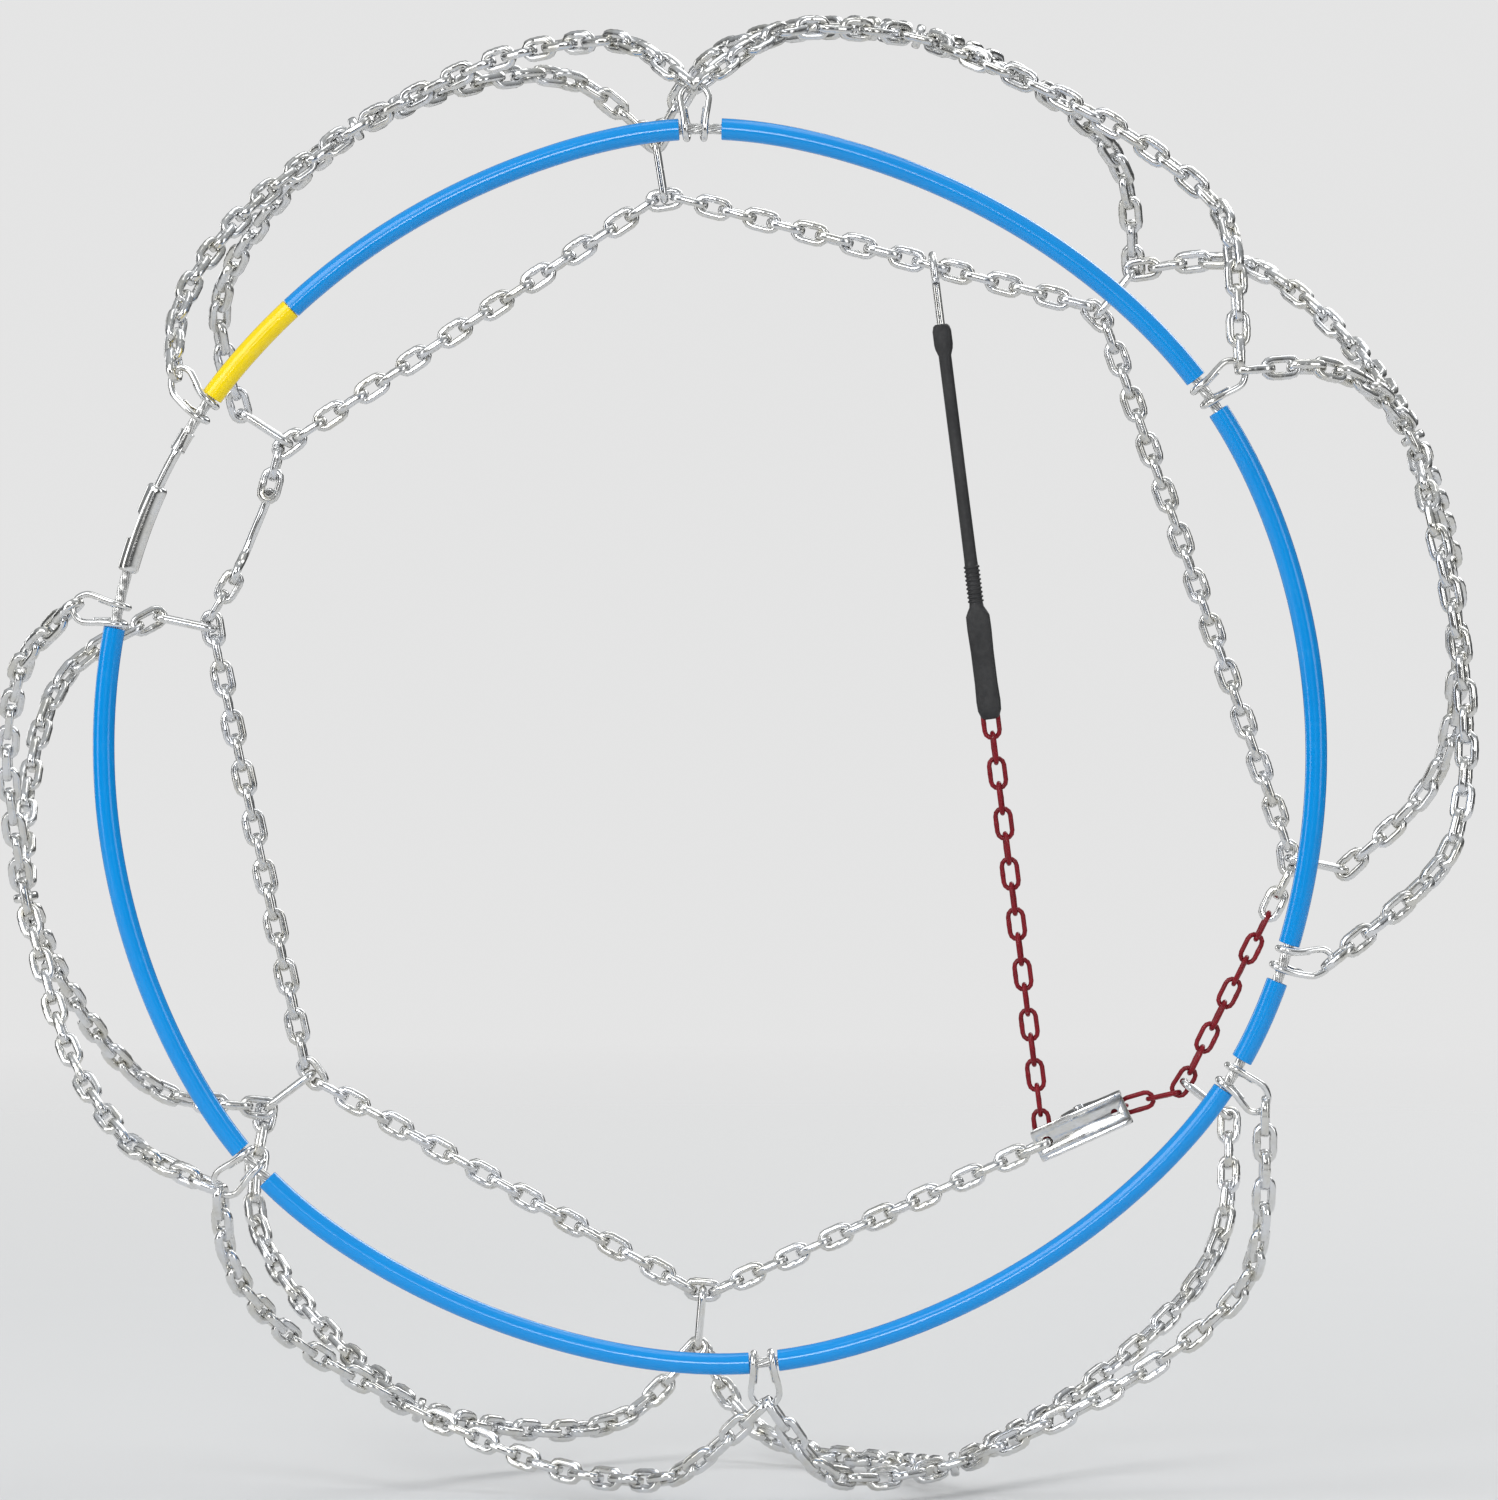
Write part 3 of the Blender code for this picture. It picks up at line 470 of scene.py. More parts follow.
def link_rings(kind, pitch):
    """One link's rings in its own frame: X lengthwise, Y across, Z through its slot."""
    width, across, through = kind
    radius = (width - across) / 2
    half = pitch / 2 + across / 2 - radius
    power = 3.0 if through != across else 2.0
    section = squircle(across, through, 12 if power > 2 else 10, power)
    path = []
    for end in (1, -1):
        for index in range(7):
            turn = radians(-90 + 30 * index) + (0 if end > 0 else pi)
            path.append((end * half + radius * cos(turn), radius * sin(turn), turn, 1.0))
        turn = radians(90 if end > 0 else 270)
        for share, weld in ((0.22, 1.0), (0.4, 1.05), (0.5, 1.1), (0.6, 1.05), (0.78, 1.0)):
            swell = weld if end > 0 else 1.0
            path.append((end * half * (1 - 2 * share), end * radius, turn, swell))
    rings = []
    for x, y, turn, swell in path:
        normal = Vector((cos(turn), sin(turn), 0))
        rings.append([Vector((x, y, 0)) + normal * (u * swell) + UP * (v * swell) for u, v in section])
    return rings


def outward_normal(_):
    return OUT


def add_links(shape, kind, joints, standing, normals=outward_normal):
    """Links between joints: a standing link's width runs along the normal, a flat one's across it."""
    for index, (start, end) in enumerate(zip(joints, joints[1:])):
        lengthwise = (end - start).normalized()
        normal = normals(start.lerp(end, 0.5))
        normal = (normal - lengthwise * normal.dot(lengthwise)).normalized()
        across = lengthwise.cross(normal)
        roll = radians(chance.uniform(-7, 7))
        if (index % 2 == 0) == standing:
            roll += pi / 2
        width = across * cos(roll) + normal * sin(roll)
        place = Matrix((lengthwise, width, lengthwise.cross(width))).transposed()
        middle = start.lerp(end, 0.5)
        rings = link_rings(kind, (end - start).length)
        shape.rings([[middle + place @ corner for corner in ring] for ring in rings], closed=True)
    return shape


def odd_count(length, pitch, odd=True):
    """The odd, or even, number of links nearest to a length."""
    shift = 1 if odd else 0
    return max(1 if odd else 2, 2 * round((length / pitch - shift) / 2) + shift)


def shackle_points(lean):
    """One shackle's wire in its own frame: X out to the bow, Y along the cable, Z off the tire."""
    half = [
        (8.8 * MM, EYE_HALF_SPACING + 0.5 * MM, -2.2 * MM),
        (5.0 * MM, EYE_HALF_SPACING - 0.1 * MM, -3.6 * MM),
    ]
    for index in range(5):
        turn = radians(-90 - 45 * index)
        side = EYE_HALF_SPACING + (-1.1 + 0.3 * index) * MM
        half.append((EYE_RADIUS * cos(turn), side, EYE_RADIUS * sin(turn)))
    half += [
        (5.0 * MM, EYE_HALF_SPACING + 0.6 * MM, 3.3 * MM),
        (10.0 * MM, BOW_HALF_WIDTH - 0.3 * MM, 1.4 * MM), (14.0 * MM, BOW_HALF_WIDTH, -0.2 * MM),
        (17.2 * MM, BOW_HALF_WIDTH - 1.7 * MM, -1.3 * MM),
        (18.6 * MM, BOW_HALF_WIDTH - 3.9 * MM, -1.7 * MM),
    ]
    top = (BOW_LENGTH, 0, -BOW_DROP)
    other = [(x, -y, z) for x, y, z in reversed(half)]
    slant = tan(radians(lean))
    return [Vector((x, y + max(0, x - 3 * MM) * slant, z)) for x, y, z in [*half, top, *other]]


def make_shackles(zinc):
    """The eight wire shackles; returns each bow's end and the direction along the cable there."""
    bows = {}
    for number, (angle, lean) in SHACKLES.items():
        along = polar(angle + 90, 1)
        place = placed(polar(angle, 1), along, hoop_point(angle))
        points = shackle_points(lean)
        bows[number] = (place @ points[len(points) // 2], along)
        shape = wire(smooth_path(points, 0.7 * MM), SHACKLE_WIRE, sides=14)
        node = f"shackle_{number}"
        add_piece(f"shackle_wire_{number}", node, shape, zinc, node, place)
    return bows


def leg_path(foot, stations, apex_end, grip, shift):
    """A leg's path from its grip on a bow to its end at the apex link."""
    crossing = [guide_point(*station) for station in stations]
    onward = (crossing[0] - foot).normalized()
    return smooth_path([foot + shift - onward * grip, *crossing, apex_end], 2 * MM)


def make_leg(kind, number, junction, ends, bows, zinc):
    """The chain from a shackle or a side hook to its end of a junction's apex link."""
    angle = JUNCTIONS[junction][0]
    paired = sum(number in (a, b) for a, _, b in INNER_STRANDS) == 2
    if kind == "inner":
        stations = INNER_LEGS[number, junction]
        foot, cable = bows[number]
        lean = (stations[0][0] - SHACKLES[number][0] + 180) % 360 - 180
        shift = cable * copysign(PAIRED_STEP, lean) * paired
        grip, odd, body = SHACKLE_WIRE, True, None
    else:
        corner = SIDE_CORNERS[number]
        reach = (angle - corner + 180) % 360 - 180
        stations = [(corner + reach * share, place) for share, place in OUTER_CROSSINGS]
        foot = polar(corner, SIDE_HOOK_REACH[1] - SIDE_HOOK_WIRE, SIDE_PLANE)
        shift = OUT * copysign(OUTER_PAIRED_STEP, reach) * paired
        grip, odd, body = SIDE_HOOK_WIRE, False, BASE
    way = 1 if (stations[-1][0] - angle) % 360 < 180 else -1
    path = leg_path(foot, stations, ends[way], grip, shift)
    joints = spaced(path, odd_count(path_length(path), NET_PITCH, odd))
    shape = add_links(Shape(), NET_LINK, joints, odd, tire_normal)
    name = f"{kind}_leg_{number}_{junction}"
    piece = add_piece(name, f"{kind}_chain_{junction}", shape, zinc, body)
    if kind == "inner":
        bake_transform(piece)


def make_net(bows, zinc):
    """The V-shaped chain lengths of both sides and the links that tie them at the tread."""
    for first, junction, second in INNER_STRANDS:
        angle, along = JUNCTIONS[junction]
        sideways = polar(angle + 90, 1)
        for side, kind in ((-1, "inner"), (1, "outer")):
            apex = guide_point(angle, along + side * APEX_OFFSET)
            ends = {way: apex + sideways * way * NET_PITCH / 2 for way in (1, -1)}
            shape = add_links(Shape(), NET_LINK, [ends[-1], ends[1]], False, tire_normal)
            add_piece(f"{kind}_apex_link_{junction}", f"{kind}_chain_{junction}", shape, zinc)
            for number in (first, second):
                make_leg(kind, number, junction, ends, bows, zinc)
        middle = guide_point(angle, along)
        onward = (guide_point(angle, along + 1) - guide_point(angle, along - 1)).normalized()
        ends = [middle - onward * NET_PITCH / 2, middle + onward * NET_PITCH / 2]
        shape = add_links(Shape(), NET_LINK, ends, True, tire_normal)
        add_piece(f"tie_link_{junction}", f"junction_link_{junction}", shape, zinc)


# ---- hoop


def tube_shape(start, end):
    """A cut length of plastic tube along the hoop."""
    length = radians(end - start) * HOOP_RADIUS
    edge = 0.25 * MM
    profile = [(0, TUBE_RADIUS - edge), (edge, TUBE_RADIUS), (length - edge, TUBE_RADIUS)]
    profile += [(length, TUBE_RADIUS - edge), (length, TUBE_BORE + edge), (length - edge, TUBE_BORE)]
    profile += [(edge, TUBE_BORE), (0, TUBE_BORE + edge)]
    return Shape().rings(on_hoop(lathe(dense(profile, 4 * MM), 28), start), closed=True)


def cable_shape(start, end):
    """A steel cable of twelve strands laid round a core."""
    strand = CABLE_RADIUS / (1 + 1 / sin(pi / CABLE_STRANDS))
    middle, size = CABLE_RADIUS - strand, strand * STRAND_FILL
    length = radians(end - start) * HOOP_RADIUS
    count = round(length / CABLE_STEP)
    shape = Shape()
    for number in range(CABLE_STRANDS):
        rings = []
        for index in range(count + 1):
            x = length * index / count
            turn = tau * (x / CABLE_LAY + number / CABLE_STRANDS)
            y, z = middle * cos(turn), middle * sin(turn)
            sides = [turn + tau * side / 6 for side in range(6)]
            rings.append([Vector((x, y + size * cos(a), z + size * sin(a))) for a in sides])
        shape.rings(on_hoop(rings, start))
    core = dense([(0, middle - strand / 2), (length, middle - strand / 2)], 4 * MM)
    shape.rings(on_hoop(lathe(core, 12), start))
    return shape


def make_hoop(blue, yellow, steel, zinc):
    """Tubes, cable, and the ferrule, pin and keyhole sleeve that close the hoop."""
    for first, second in TUBE_RUNS:
        name = f"blue_tube_{first}_{second}"
        start = SHACKLES[first][0] + BARE_CABLE[first][1]
        end = SHACKLES[second][0] - BARE_CABLE[second][0]
        add_piece("plastic_" + name, name, tube_shape(start, end + 360 * (end < start)), blue)
    run = tube_shape(SHACKLES[1][0] + BARE_CABLE[1][1], YELLOW_TUBE[0] - TUBE_GAP)
    add_piece("plastic_blue_tube_1_8", "blue_tube_1_8", run, blue)
    add_piece("plastic_yellow_tube", "yellow_tube", tube_shape(*YELLOW_TUBE), yellow)

    start = SLEEVE[1] - degrees(CABLE_GRIP / HOOP_RADIUS)
    run = cable_shape(start, 360 + CABLE_SPLIT - CABLE_GAP)
    add_piece("cable", "hoop_cable", run, steel)
    run = cable_shape(CABLE_SPLIT, FERRULE[0] + CABLE_GAP)
    add_piece("cable_plug_end", "plug_cable", run, steel, "plug")

    length = radians(FERRULE[1] - FERRULE[0]) * HOOP_RADIUS
    rings = []
    for x, radius, flat in (
        (0, 2.35, 0), (0, 2.9, 0), (0.3, 3.3, 0), (0.9, 3.3, 0), (1.3, 3.12, 1),
        (length / MM - 1.3, 3.12, 1), (length / MM - 0.9, 3.3, 0), (length / MM - 0.3, 3.3, 0),
        (length / MM, 2.9, 0), (length / MM, 2.2, 0),
    ):
        ring = []
        for k in range(48):
            turn = tau * k / 48
            facet = cos(pi / 6) / cos((turn % (pi / 3)) - pi / 6)
            size = radius * (1 + (facet - 1) * 0.35 * flat) * MM
            ring.append(Vector((x * MM, size * cos(turn), size * sin(turn))))
        rings.append(ring)
    shape = Shape().rings(on_hoop(rings, FERRULE[0]))
    add_piece("ferrule", "crimp_ferrule", shape, zinc, "plug", sharp=30)

    start = FERRULE[1] + PIN_GAP
    mouth = radians(SLEEVE[0] - start) * HOOP_RADIUS
    neck, tip = mouth + PIN_HEAD_DEPTH[0], mouth + PIN_HEAD_DEPTH[1]
    profile = [
        (-1.2 * MM, PIN_RADIUS - 0.3 * MM), (0, PIN_RADIUS), (neck, PIN_RADIUS),
        (neck, PIN_HEAD_RADIUS), (tip - 0.8 * MM, PIN_HEAD_RADIUS),
        (tip, PIN_HEAD_RADIUS - 1 * MM),
    ]
    rings = lathe(dense(profile, 1.5 * MM)[: -max(1, round((tip + 1.2 * MM) / (1.5 * MM))) + 1], 32)
    add_piece("headed_pin", "plug_pin", Shape().rings(on_hoop(rings, start)), zinc, "plug")

    length = radians(SLEEVE[1] - SLEEVE[0]) * HOOP_RADIUS
    inner_end = length - 7.6 * MM
    cable_bore = CABLE_RADIUS + 0.15 * MM
    lip_bore = PIN_RADIUS + 0.45 * MM
    profile = [
        (0.2 * MM, lip_bore), (0, lip_bore + 0.2 * MM), (0, SLEEVE_RADIUS - 1.4 * MM),
        (0.25 * MM, SLEEVE_RADIUS - 0.7 * MM), (0.8 * MM, SLEEVE_RADIUS - 0.2 * MM),
        (1.6 * MM, SLEEVE_RADIUS), (length - 1.4 * MM, SLEEVE_RADIUS),
        (length - 0.5 * MM, SLEEVE_RADIUS - 0.4 * MM), (length, SLEEVE_RADIUS - 1.1 * MM),
        (length, cable_bore), (inner_end, cable_bore), (inner_end, SLEEVE_BORE),
        (1.8 * MM, SLEEVE_BORE), (1.8 * MM, lip_bore),
    ]
    shape = Shape().rings(on_hoop(lathe(dense(profile, 1.5 * MM), 48), SLEEVE[0]), closed=True)
    piece = add_piece("sleeve", "keyhole_sleeve", shape, zinc)
    middle = SLEEVE[0] + degrees(19 * MM / HOOP_RADIUS)
    turn = Matrix.Rotation(-radians(middle), 4, "Y")
    place = Matrix.Translation(hoop_point(middle)) @ turn @ Matrix.Translation((5.2 * MM, 0, 0))
    cut(piece, [rounded_box((8 * MM, 7 * MM, 12 * MM), 1.6 * MM, place)])


def rounded_box(size, edge, place, segments=4):
    """A box with round edges, as a mesh in its place."""
    mesh = bpy.data.meshes.new("rounded_box")
    shape = bmesh.new()
    bmesh.ops.create_cube(shape, size=1.0, matrix=Matrix.Diagonal((*size, 1)))
    bmesh.ops.bevel(
        shape, geom=list(shape.edges), offset=edge, segments=segments, profile=0.5, affect="EDGES"
    )
    shape.transform(place)
    shape.to_mesh(mesh)
    shape.free()
    return mesh


# ---- outer side


def side_corner(number):
    return polar(SIDE_CORNERS[number], SIDE_RADIUS, SIDE_PLANE)


def ratchet_frame():
    """The ratchet's place: X along the channel towards corner 5, Y outwards, Z across."""
    along, inwards = polar(RATCHET_ANGLE, 1), polar(RATCHET_ANGLE - 90, 1)
    exit_point = Vector((LINE_FOOT.x, 0, LINE_FOOT.z))
    return placed(along, OUT, exit_point - along * (RATCHET_LENGTH / 2 - 5 * MM) - inwards * 3 * MM)


def make_side_hooks(zinc):
    """Oval wire hooks, standing on edge, with the slit where each one was bent shut."""
    for number, angle in SIDE_CORNERS.items():
        inner, outer = SIDE_HOOK_REACH
        radius = SIDE_HOOK_WIDTH / 2 - SIDE_HOOK_WIRE
        straight = (outer - inner) / 2 - SIDE_HOOK_WIRE - radius
        points = [Vector((1.2 * MM, radius, 0))]
        for end in (1, -1):
            for index in range(9):
                turn = radians(90 - 22.5 * index) - (0 if end > 0 else pi)
                points.append(Vector((end * straight + radius * cos(turn), radius * sin(turn), 0)))
        points.append(Vector((0.2 * MM, radius, 0)))
        place = placed(polar(angle, 1), OUT, polar(angle, (inner + outer) / 2, SIDE_PLANE))
        shape = wire(smooth_path(points, 0.9 * MM), SIDE_HOOK_WIRE, sides=14)
        add_piece(f"oval_hook_{number}", f"side_hook_{number}", shape, zinc, matrix=place)


def side_run(stops, corners, standing_start, last_odd):
    """Joints from the first stop, through a flat link at each corner, to the last stop.

    Returns a list of (joints, standing) rows, one for each straight run and each corner link."""
    points = [stops[0], *corners, stops[1]]
    rows = []
    leave = stops[0]
    for before, corner, after in zip(points, points[1:], points[2:]):
        way = (after - before).normalized()
        arrive = corner - way * NET_PITCH / 2
        standing = True if rows else standing_start
        count = odd_count((arrive - leave).length, NET_PITCH, standing)
        rows.append((spaced([leave, arrive], count), standing))
        rows.append(([arrive, corner + way * NET_PITCH / 2], False))
        leave = corner + way * NET_PITCH / 2
    count = odd_count((stops[1] - leave).length, NET_PITCH, last_odd)
    rows.append((spaced([leave, stops[1]], count), True))
    return rows


def make_side_chains(zinc, red):
    """The outer side chain, the tension chain, and the ratchet's end of both."""
    corner = {number: side_corner(number) for number in SIDE_CORNERS}
    closing = (corner[8] - corner[7]).normalized()
    place = ratchet_frame()
    anchor = place @ Vector((RATCHET_LENGTH / 2 - ANCHOR_INSET + 1.2 * MM, RATCHET_BASE + 1 * MM, 0))
    eye = corner[7] + closing * (CLOSURE_EYE - CLOSURE_EYE_RADIUS + CLOSURE_WIRE)
    finger = corner[7] + closing * (CLOSURE_EYE + CLOSURE_REACH - CLOSURE_WIRE)

    shape = Shape()
    for row in side_run([anchor, eye], [corner[5], corner[6], corner[7]], True, False):
        add_links(shape, NET_LINK, *row)
    add_piece("side_chain_lower", "side_chain_a", shape, zinc)

    foot = LINE_FOOT - LINE_DIRECTION * 1 * MM
    entry = place @ Vector((-RATCHET_LENGTH / 2 - 2 * MM, TENSION_PLANE, 0))
    shape = Shape()
    rows = side_run([finger, corner[4]], [corner[8], corner[1], corner[2], corner[3]], False, True)
    joints, _ = rows.pop()
    for row in rows:
        add_links(shape, NET_LINK, *row)
    way = (entry - corner[3]).normalized()
    arrive = corner[4] - way * RED_PITCH / 2
    leave = corner[4] + way * RED_PITCH / 2
    count = odd_count((arrive - joints[0]).length, RED_PITCH)
    joints = spaced([joints[0], arrive], count)
    add_links(shape, NET_LINK, joints[:3], True)
    add_piece("side_chain_upper", "side_chain_b", shape, zinc)

    shape = Shape()
    add_links(shape, RED_LINK, joints[2:], True)
    add_links(shape, RED_LINK, [arrive, leave], False)
    path = smooth_path([leave, entry, foot], 1 * MM)
    count = odd_count(path_length(path), RED_PITCH)
    add_links(shape, RED_LINK, spaced(path, count), True)
    add_piece("tension_chain_entry", "tension_chain_tail", shape, red)

    top = LINE_FOOT + LINE_DIRECTION * (CHAIN_TOP + 4 * MM)
    count = round((top - foot).length / RED_PITCH)
    shape = add_links(Shape(), RED_LINK, spaced([foot, top], count), False)
    piece = add_piece("tension_chain", "tension_chain_run", shape, red, None)
    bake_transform(piece)


def make_closure_hook(zinc):
    first, second = side_corner(7), side_corner(8)
    along = (second - first).normalized()
    place = placed(along, OUT, first + along * CLOSURE_EYE)
    points = []
    for index in range(8):
        turn = radians(112 + 37 * index)
        points.append(Vector((CLOSURE_EYE_RADIUS * cos(turn), CLOSURE_EYE_RADIUS * sin(turn), 0)))
    for x, y in (
        (8 * MM, CLOSURE_RISE - 1.2 * MM), (13 * MM, CLOSURE_RISE), (24 * MM, CLOSURE_RISE),
        (CLOSURE_REACH - 3.5 * MM, CLOSURE_RISE),
        (CLOSURE_REACH - 1.1 * MM, CLOSURE_RISE - 1.1 * MM),
        (CLOSURE_REACH, CLOSURE_RISE - 3.5 * MM), (CLOSURE_REACH, -CLOSURE_FINGER),
    ):
        points.append(Vector((x, y, 0)))
    shape = wire(smooth_path(points, 0.8 * MM), CLOSURE_WIRE, sides=16)
    add_piece("closing_hook", "closure_hook", shape, zinc, "closure_hook", place)


def plate(outline, thickness, place, holes=()):
    """A stamped plate: an outline of XY points with holes of (x, y, radius), thick along its own Z."""
    data = bpy.data.curves.new("plate", "CURVE")
    data.dimensions = "2D"
    data.fill_mode = "BOTH"
    data.extrude = thickness / 2 - PLATE_EDGE
    data.bevel_depth = PLATE_EDGE
    data.bevel_resolution = 1
    data.offset = -PLATE_EDGE
    loops = [outline]
    turns = [tau * k / 20 for k in range(20)]
    for x, y, radius in holes:
        loops.append([(x + radius * cos(turn), y + radius * sin(turn)) for turn in turns])
    for loop in loops:
        spline = data.splines.new("POLY")
        spline.points.add(len(loop) - 1)
        for point, (x, y) in zip(spline.points, loop):
            point.co = (x, y, 0, 1)
        spline.use_cyclic_u = True
    item = scene_object("plate", data)
    bpy.context.view_layer.update()
    mesh = evaluated_mesh(item)
    bpy.data.objects.remove(item)
    shape = bmesh.new()
    shape.from_mesh(mesh)
    bmesh.ops.remove_doubles(shape, verts=shape.verts, dist=0.00001)
    bmesh.ops.recalc_face_normals(shape, faces=shape.faces)
    shape.transform(place)
    shape.to_mesh(mesh)
    shape.free()
    return mesh


def rounded_outline(points, radius, steps=4):
    """Corners of an outline, each replaced by a short arc."""
    rows = []
    count = len(points)
    for index, corner in enumerate(points):
        corner = Vector(corner)
        before, after = Vector(points[index - 1]), Vector(points[(index + 1) % count])
        back, onward = (before - corner), (after - corner)
        reach = min(radius, back.length * 0.45, onward.length * 0.45)
        start, end = corner + back.normalized() * reach, corner + onward.normalized() * reach
        for step in range(steps + 1):
            t = step / steps
            rows.append(tuple(start * (1 - t) ** 2 + corner * 2 * t * (1 - t) + end * t**2))
    return rows


def make_ratchet(zinc, steel):
    """Ratchet channel, rivet pin, spring and pawl."""
    place = ratchet_frame()
    half_length, half_width = RATCHET_LENGTH / 2, RATCHET_WIDTH / 2
    pin_x = -2 * MM
    flat = Matrix.Rotation(pi / 2, 4, "X")
    ends = ((-1, -1), (1, -1), (1, 1), (-1, 1))
    base_outline = rounded_outline([(x * half_length, y * half_width) for x, y in ends], 2.5 * MM)
    base = plate(
        base_outline,
        RATCHET_SHEET,
        Matrix.Translation((0, RATCHET_BASE + RATCHET_SHEET / 2, 0)) @ flat,
        holes=[(half_length - ANCHOR_INSET, 0, 2.6 * MM), (-half_length + 6 * MM, 0, 1.6 * MM)],
    )
    cheeks = []
    low, top, ear = RATCHET_BASE, RATCHET_CHEEK_TOP, PAWL_PIN_HEIGHT + 4.5 * MM
    start = -half_length
    for side, end in ((1, half_length), (-1, half_length - 16 * MM)):
        outline = rounded_outline(
            [
                (start, low), (end, low), (end, top), (pin_x + 9 * MM, top),
                (pin_x + 4.5 * MM, ear), (pin_x - 4.5 * MM, ear), (pin_x - 9 * MM, top),
                (start, top),
            ],
            3.2 * MM,
        )
        shift = Matrix.Translation((0, 0, side * (half_width - RATCHET_SHEET / 2)))
        hole = (pin_x, PAWL_PIN_HEIGHT, PAWL_PIN_RADIUS + 0.1 * MM)
        cheeks.append(plate(outline, RATCHET_SHEET, shift, holes=[hole]))
    piece = add_piece("ratchet_channel", "ratchet_housing", base, zinc)
    cut(piece, cheeks, "UNION")
    piece.data.transform(place)

    pivot = place @ Matrix.Translation((pin_x, PAWL_PIN_HEIGHT, 0))
    across = Matrix.Rotation(-pi / 2, 4, "Y")
    reach = half_width + 0.9 * MM
    profile = [
        (-reach, 0.9 * MM), (-reach + 0.25 * MM, 2.2 * MM), (-reach + 0.8 * MM, 2.4 * MM),
        (-reach + 0.9 * MM, PAWL_PIN_RADIUS), (reach - 0.9 * MM, PAWL_PIN_RADIUS),
        (reach - 0.8 * MM, 2.4 * MM), (reach - 0.25 * MM, 2.2 * MM), (reach, 0.9 * MM),
    ]
    rivet = Shape().rings(lathe(profile, 28))
    add_piece("pawl_rivet", "pawl_pin", rivet, zinc, matrix=pivot @ across)

    inner = RATCHET_WIDTH - 2 * RATCHET_SHEET
    radius = PAWL_PIN_RADIUS + 0.85 * MM
    coil = [
        Vector((-9 * MM, -12.5 * MM, -inner / 2 + 1.0 * MM)),
        Vector((-5 * MM, -6 * MM, -inner / 2 + 1.1 * MM)),
    ]
    for index in range(round(SPRING_TURNS * 16) + 1):
        turn = tau * index / 16 + pi * 0.8
        rise = -inner / 2 + (1.2 + 1.0 * index / 16) * MM
        coil.append(Vector((radius * cos(turn), radius * sin(turn), rise)))
    shape = wire(smooth_path(coil, 0.5 * MM), SPRING_WIRE, sides=8)
    add_piece("torsion_spring", "pawl_spring", shape, steel, matrix=pivot)

    width = inner - 1 * MM
    tip = PAWL_LENGTH + 3.4 * MM
    outline = rounded_outline(
        [
            (3.4 * MM, -width / 2), (tip - 3 * MM, -width / 2), (tip, -width / 2 + 3 * MM),
            (tip - 1.4 * MM, 0), (tip, width / 2 - 3 * MM), (tip - 3 * MM, width / 2),
            (3.4 * MM, width / 2),
        ],
        1.2 * MM,
    )
    tongue = plate(outline, PAWL_SHEET, flat, holes=[(11 * MM, 0, 1.7 * MM)])
    barrel_length = 4 * MM
    shift = inner / 2 - 0.5 * MM - barrel_length / 2
    outer, bore = PAWL_PIN_RADIUS + 1.6 * MM, PAWL_PIN_RADIUS + 0.15 * MM
    half = barrel_length / 2
    rings = lathe([(-half, bore), (-half, outer), (half, outer), (half, bore)], 32)
    barrel = Shape().rings(rings, closed=True).mesh("barrel")
    barrel.transform(Matrix.Translation((0, 0, shift)) @ across)
    web_place = Matrix.Translation((3.6 * MM, 0, shift))
    web = rounded_box((4.4 * MM, PAWL_SHEET, barrel_length), 0.2 * MM, web_place, 2)
    piece = add_piece("locking_pawl", "ratchet_pawl", tongue, zinc, "ratchet_pawl")
    cut(piece, [web, barrel], "UNION")
    piece.data.transform(pivot @ Matrix.Rotation(-radians(PAWL_TILT), 4, "Z"))


def hook_distance():
    """How far along the tension line its hook goes round the outer side chain."""
    first, second = side_corner(1), side_corner(2)
    chain = (second - first).xz
    offset = (first - LINE_FOOT).xz
    line = LINE_DIRECTION.xz
    return (offset.x * chain.y - offset.y * chain.x) / (line.x * chain.y - line.y * chain.x)


def strap_shape():
    """The rubber tensioner along its own Z axis: eye, rimmed grip, ribs, cord and hook boss."""
    length = (STRAP_TOP - CHAIN_TOP) / MM
    grip = 46
    rows = [(0.0, 2.6, 2.0, 2.2), (0.8, 4.0, 3.0, 3.0), (4, 5.2, 3.2, 4.5), (8, 5.4, 3.2, 5.0)]
    rows += [(16, 5.1, 3.1, 5.0), (30, 5.1, 3.1, 5.0), (grip - 6, 5.4, 3.2, 5.0), (grip, 5.3, 3.2, 4.5)]
    rows += [(grip + 2, 4.4, 3.1, 3.5), (grip + 4, 3.3, 3.0, 3.0)]
    for rib in range(9):
        foot = grip + 6 + 1.9 * rib
        rows += [(foot, 3.0, 2.8, 2.6), (foot + 0.35, 3.55, 3.2, 2.6)]
        rows += [(foot + 0.95, 3.55, 3.2, 2.6), (foot + 1.3, 3.0, 2.8, 2.6)]
    rows += [(grip + 25, 2.9, 2.85, 2.3), (grip + 60, 2.8, 2.8, 2.1), (length - 14, 2.85, 2.85, 2.2)]
    rows += [(length - 11, 3.9, 3.1, 2.6), (length - 9, 4.2, 3.1, 3.0), (length - 3, 4.2, 3.1, 3.0)]
    rows += [(length - 0.8, 3.6, 2.8, 2.6), (length, 2.6, 2.0, 2.2)]
    rings = []
    split = []
    for (z0, *a), (z1, *b) in zip(rows, rows[1:]):
        count = max(1, round((z1 - z0) / 4))
        for index in range(count):
            t = index / count
            split.append((z0 + (z1 - z0) * t, *[p + (q - p) * t for p, q in zip(a, b)]))
    split.append(rows[-1])
    for z, half_width, half_thick, power in split:
        section = squircle(2 * half_width * MM, 2 * half_thick * MM, 32, power)
        rings.append([Vector((x, y, z * MM)) for x, y in section])
    return Shape().rings(rings)


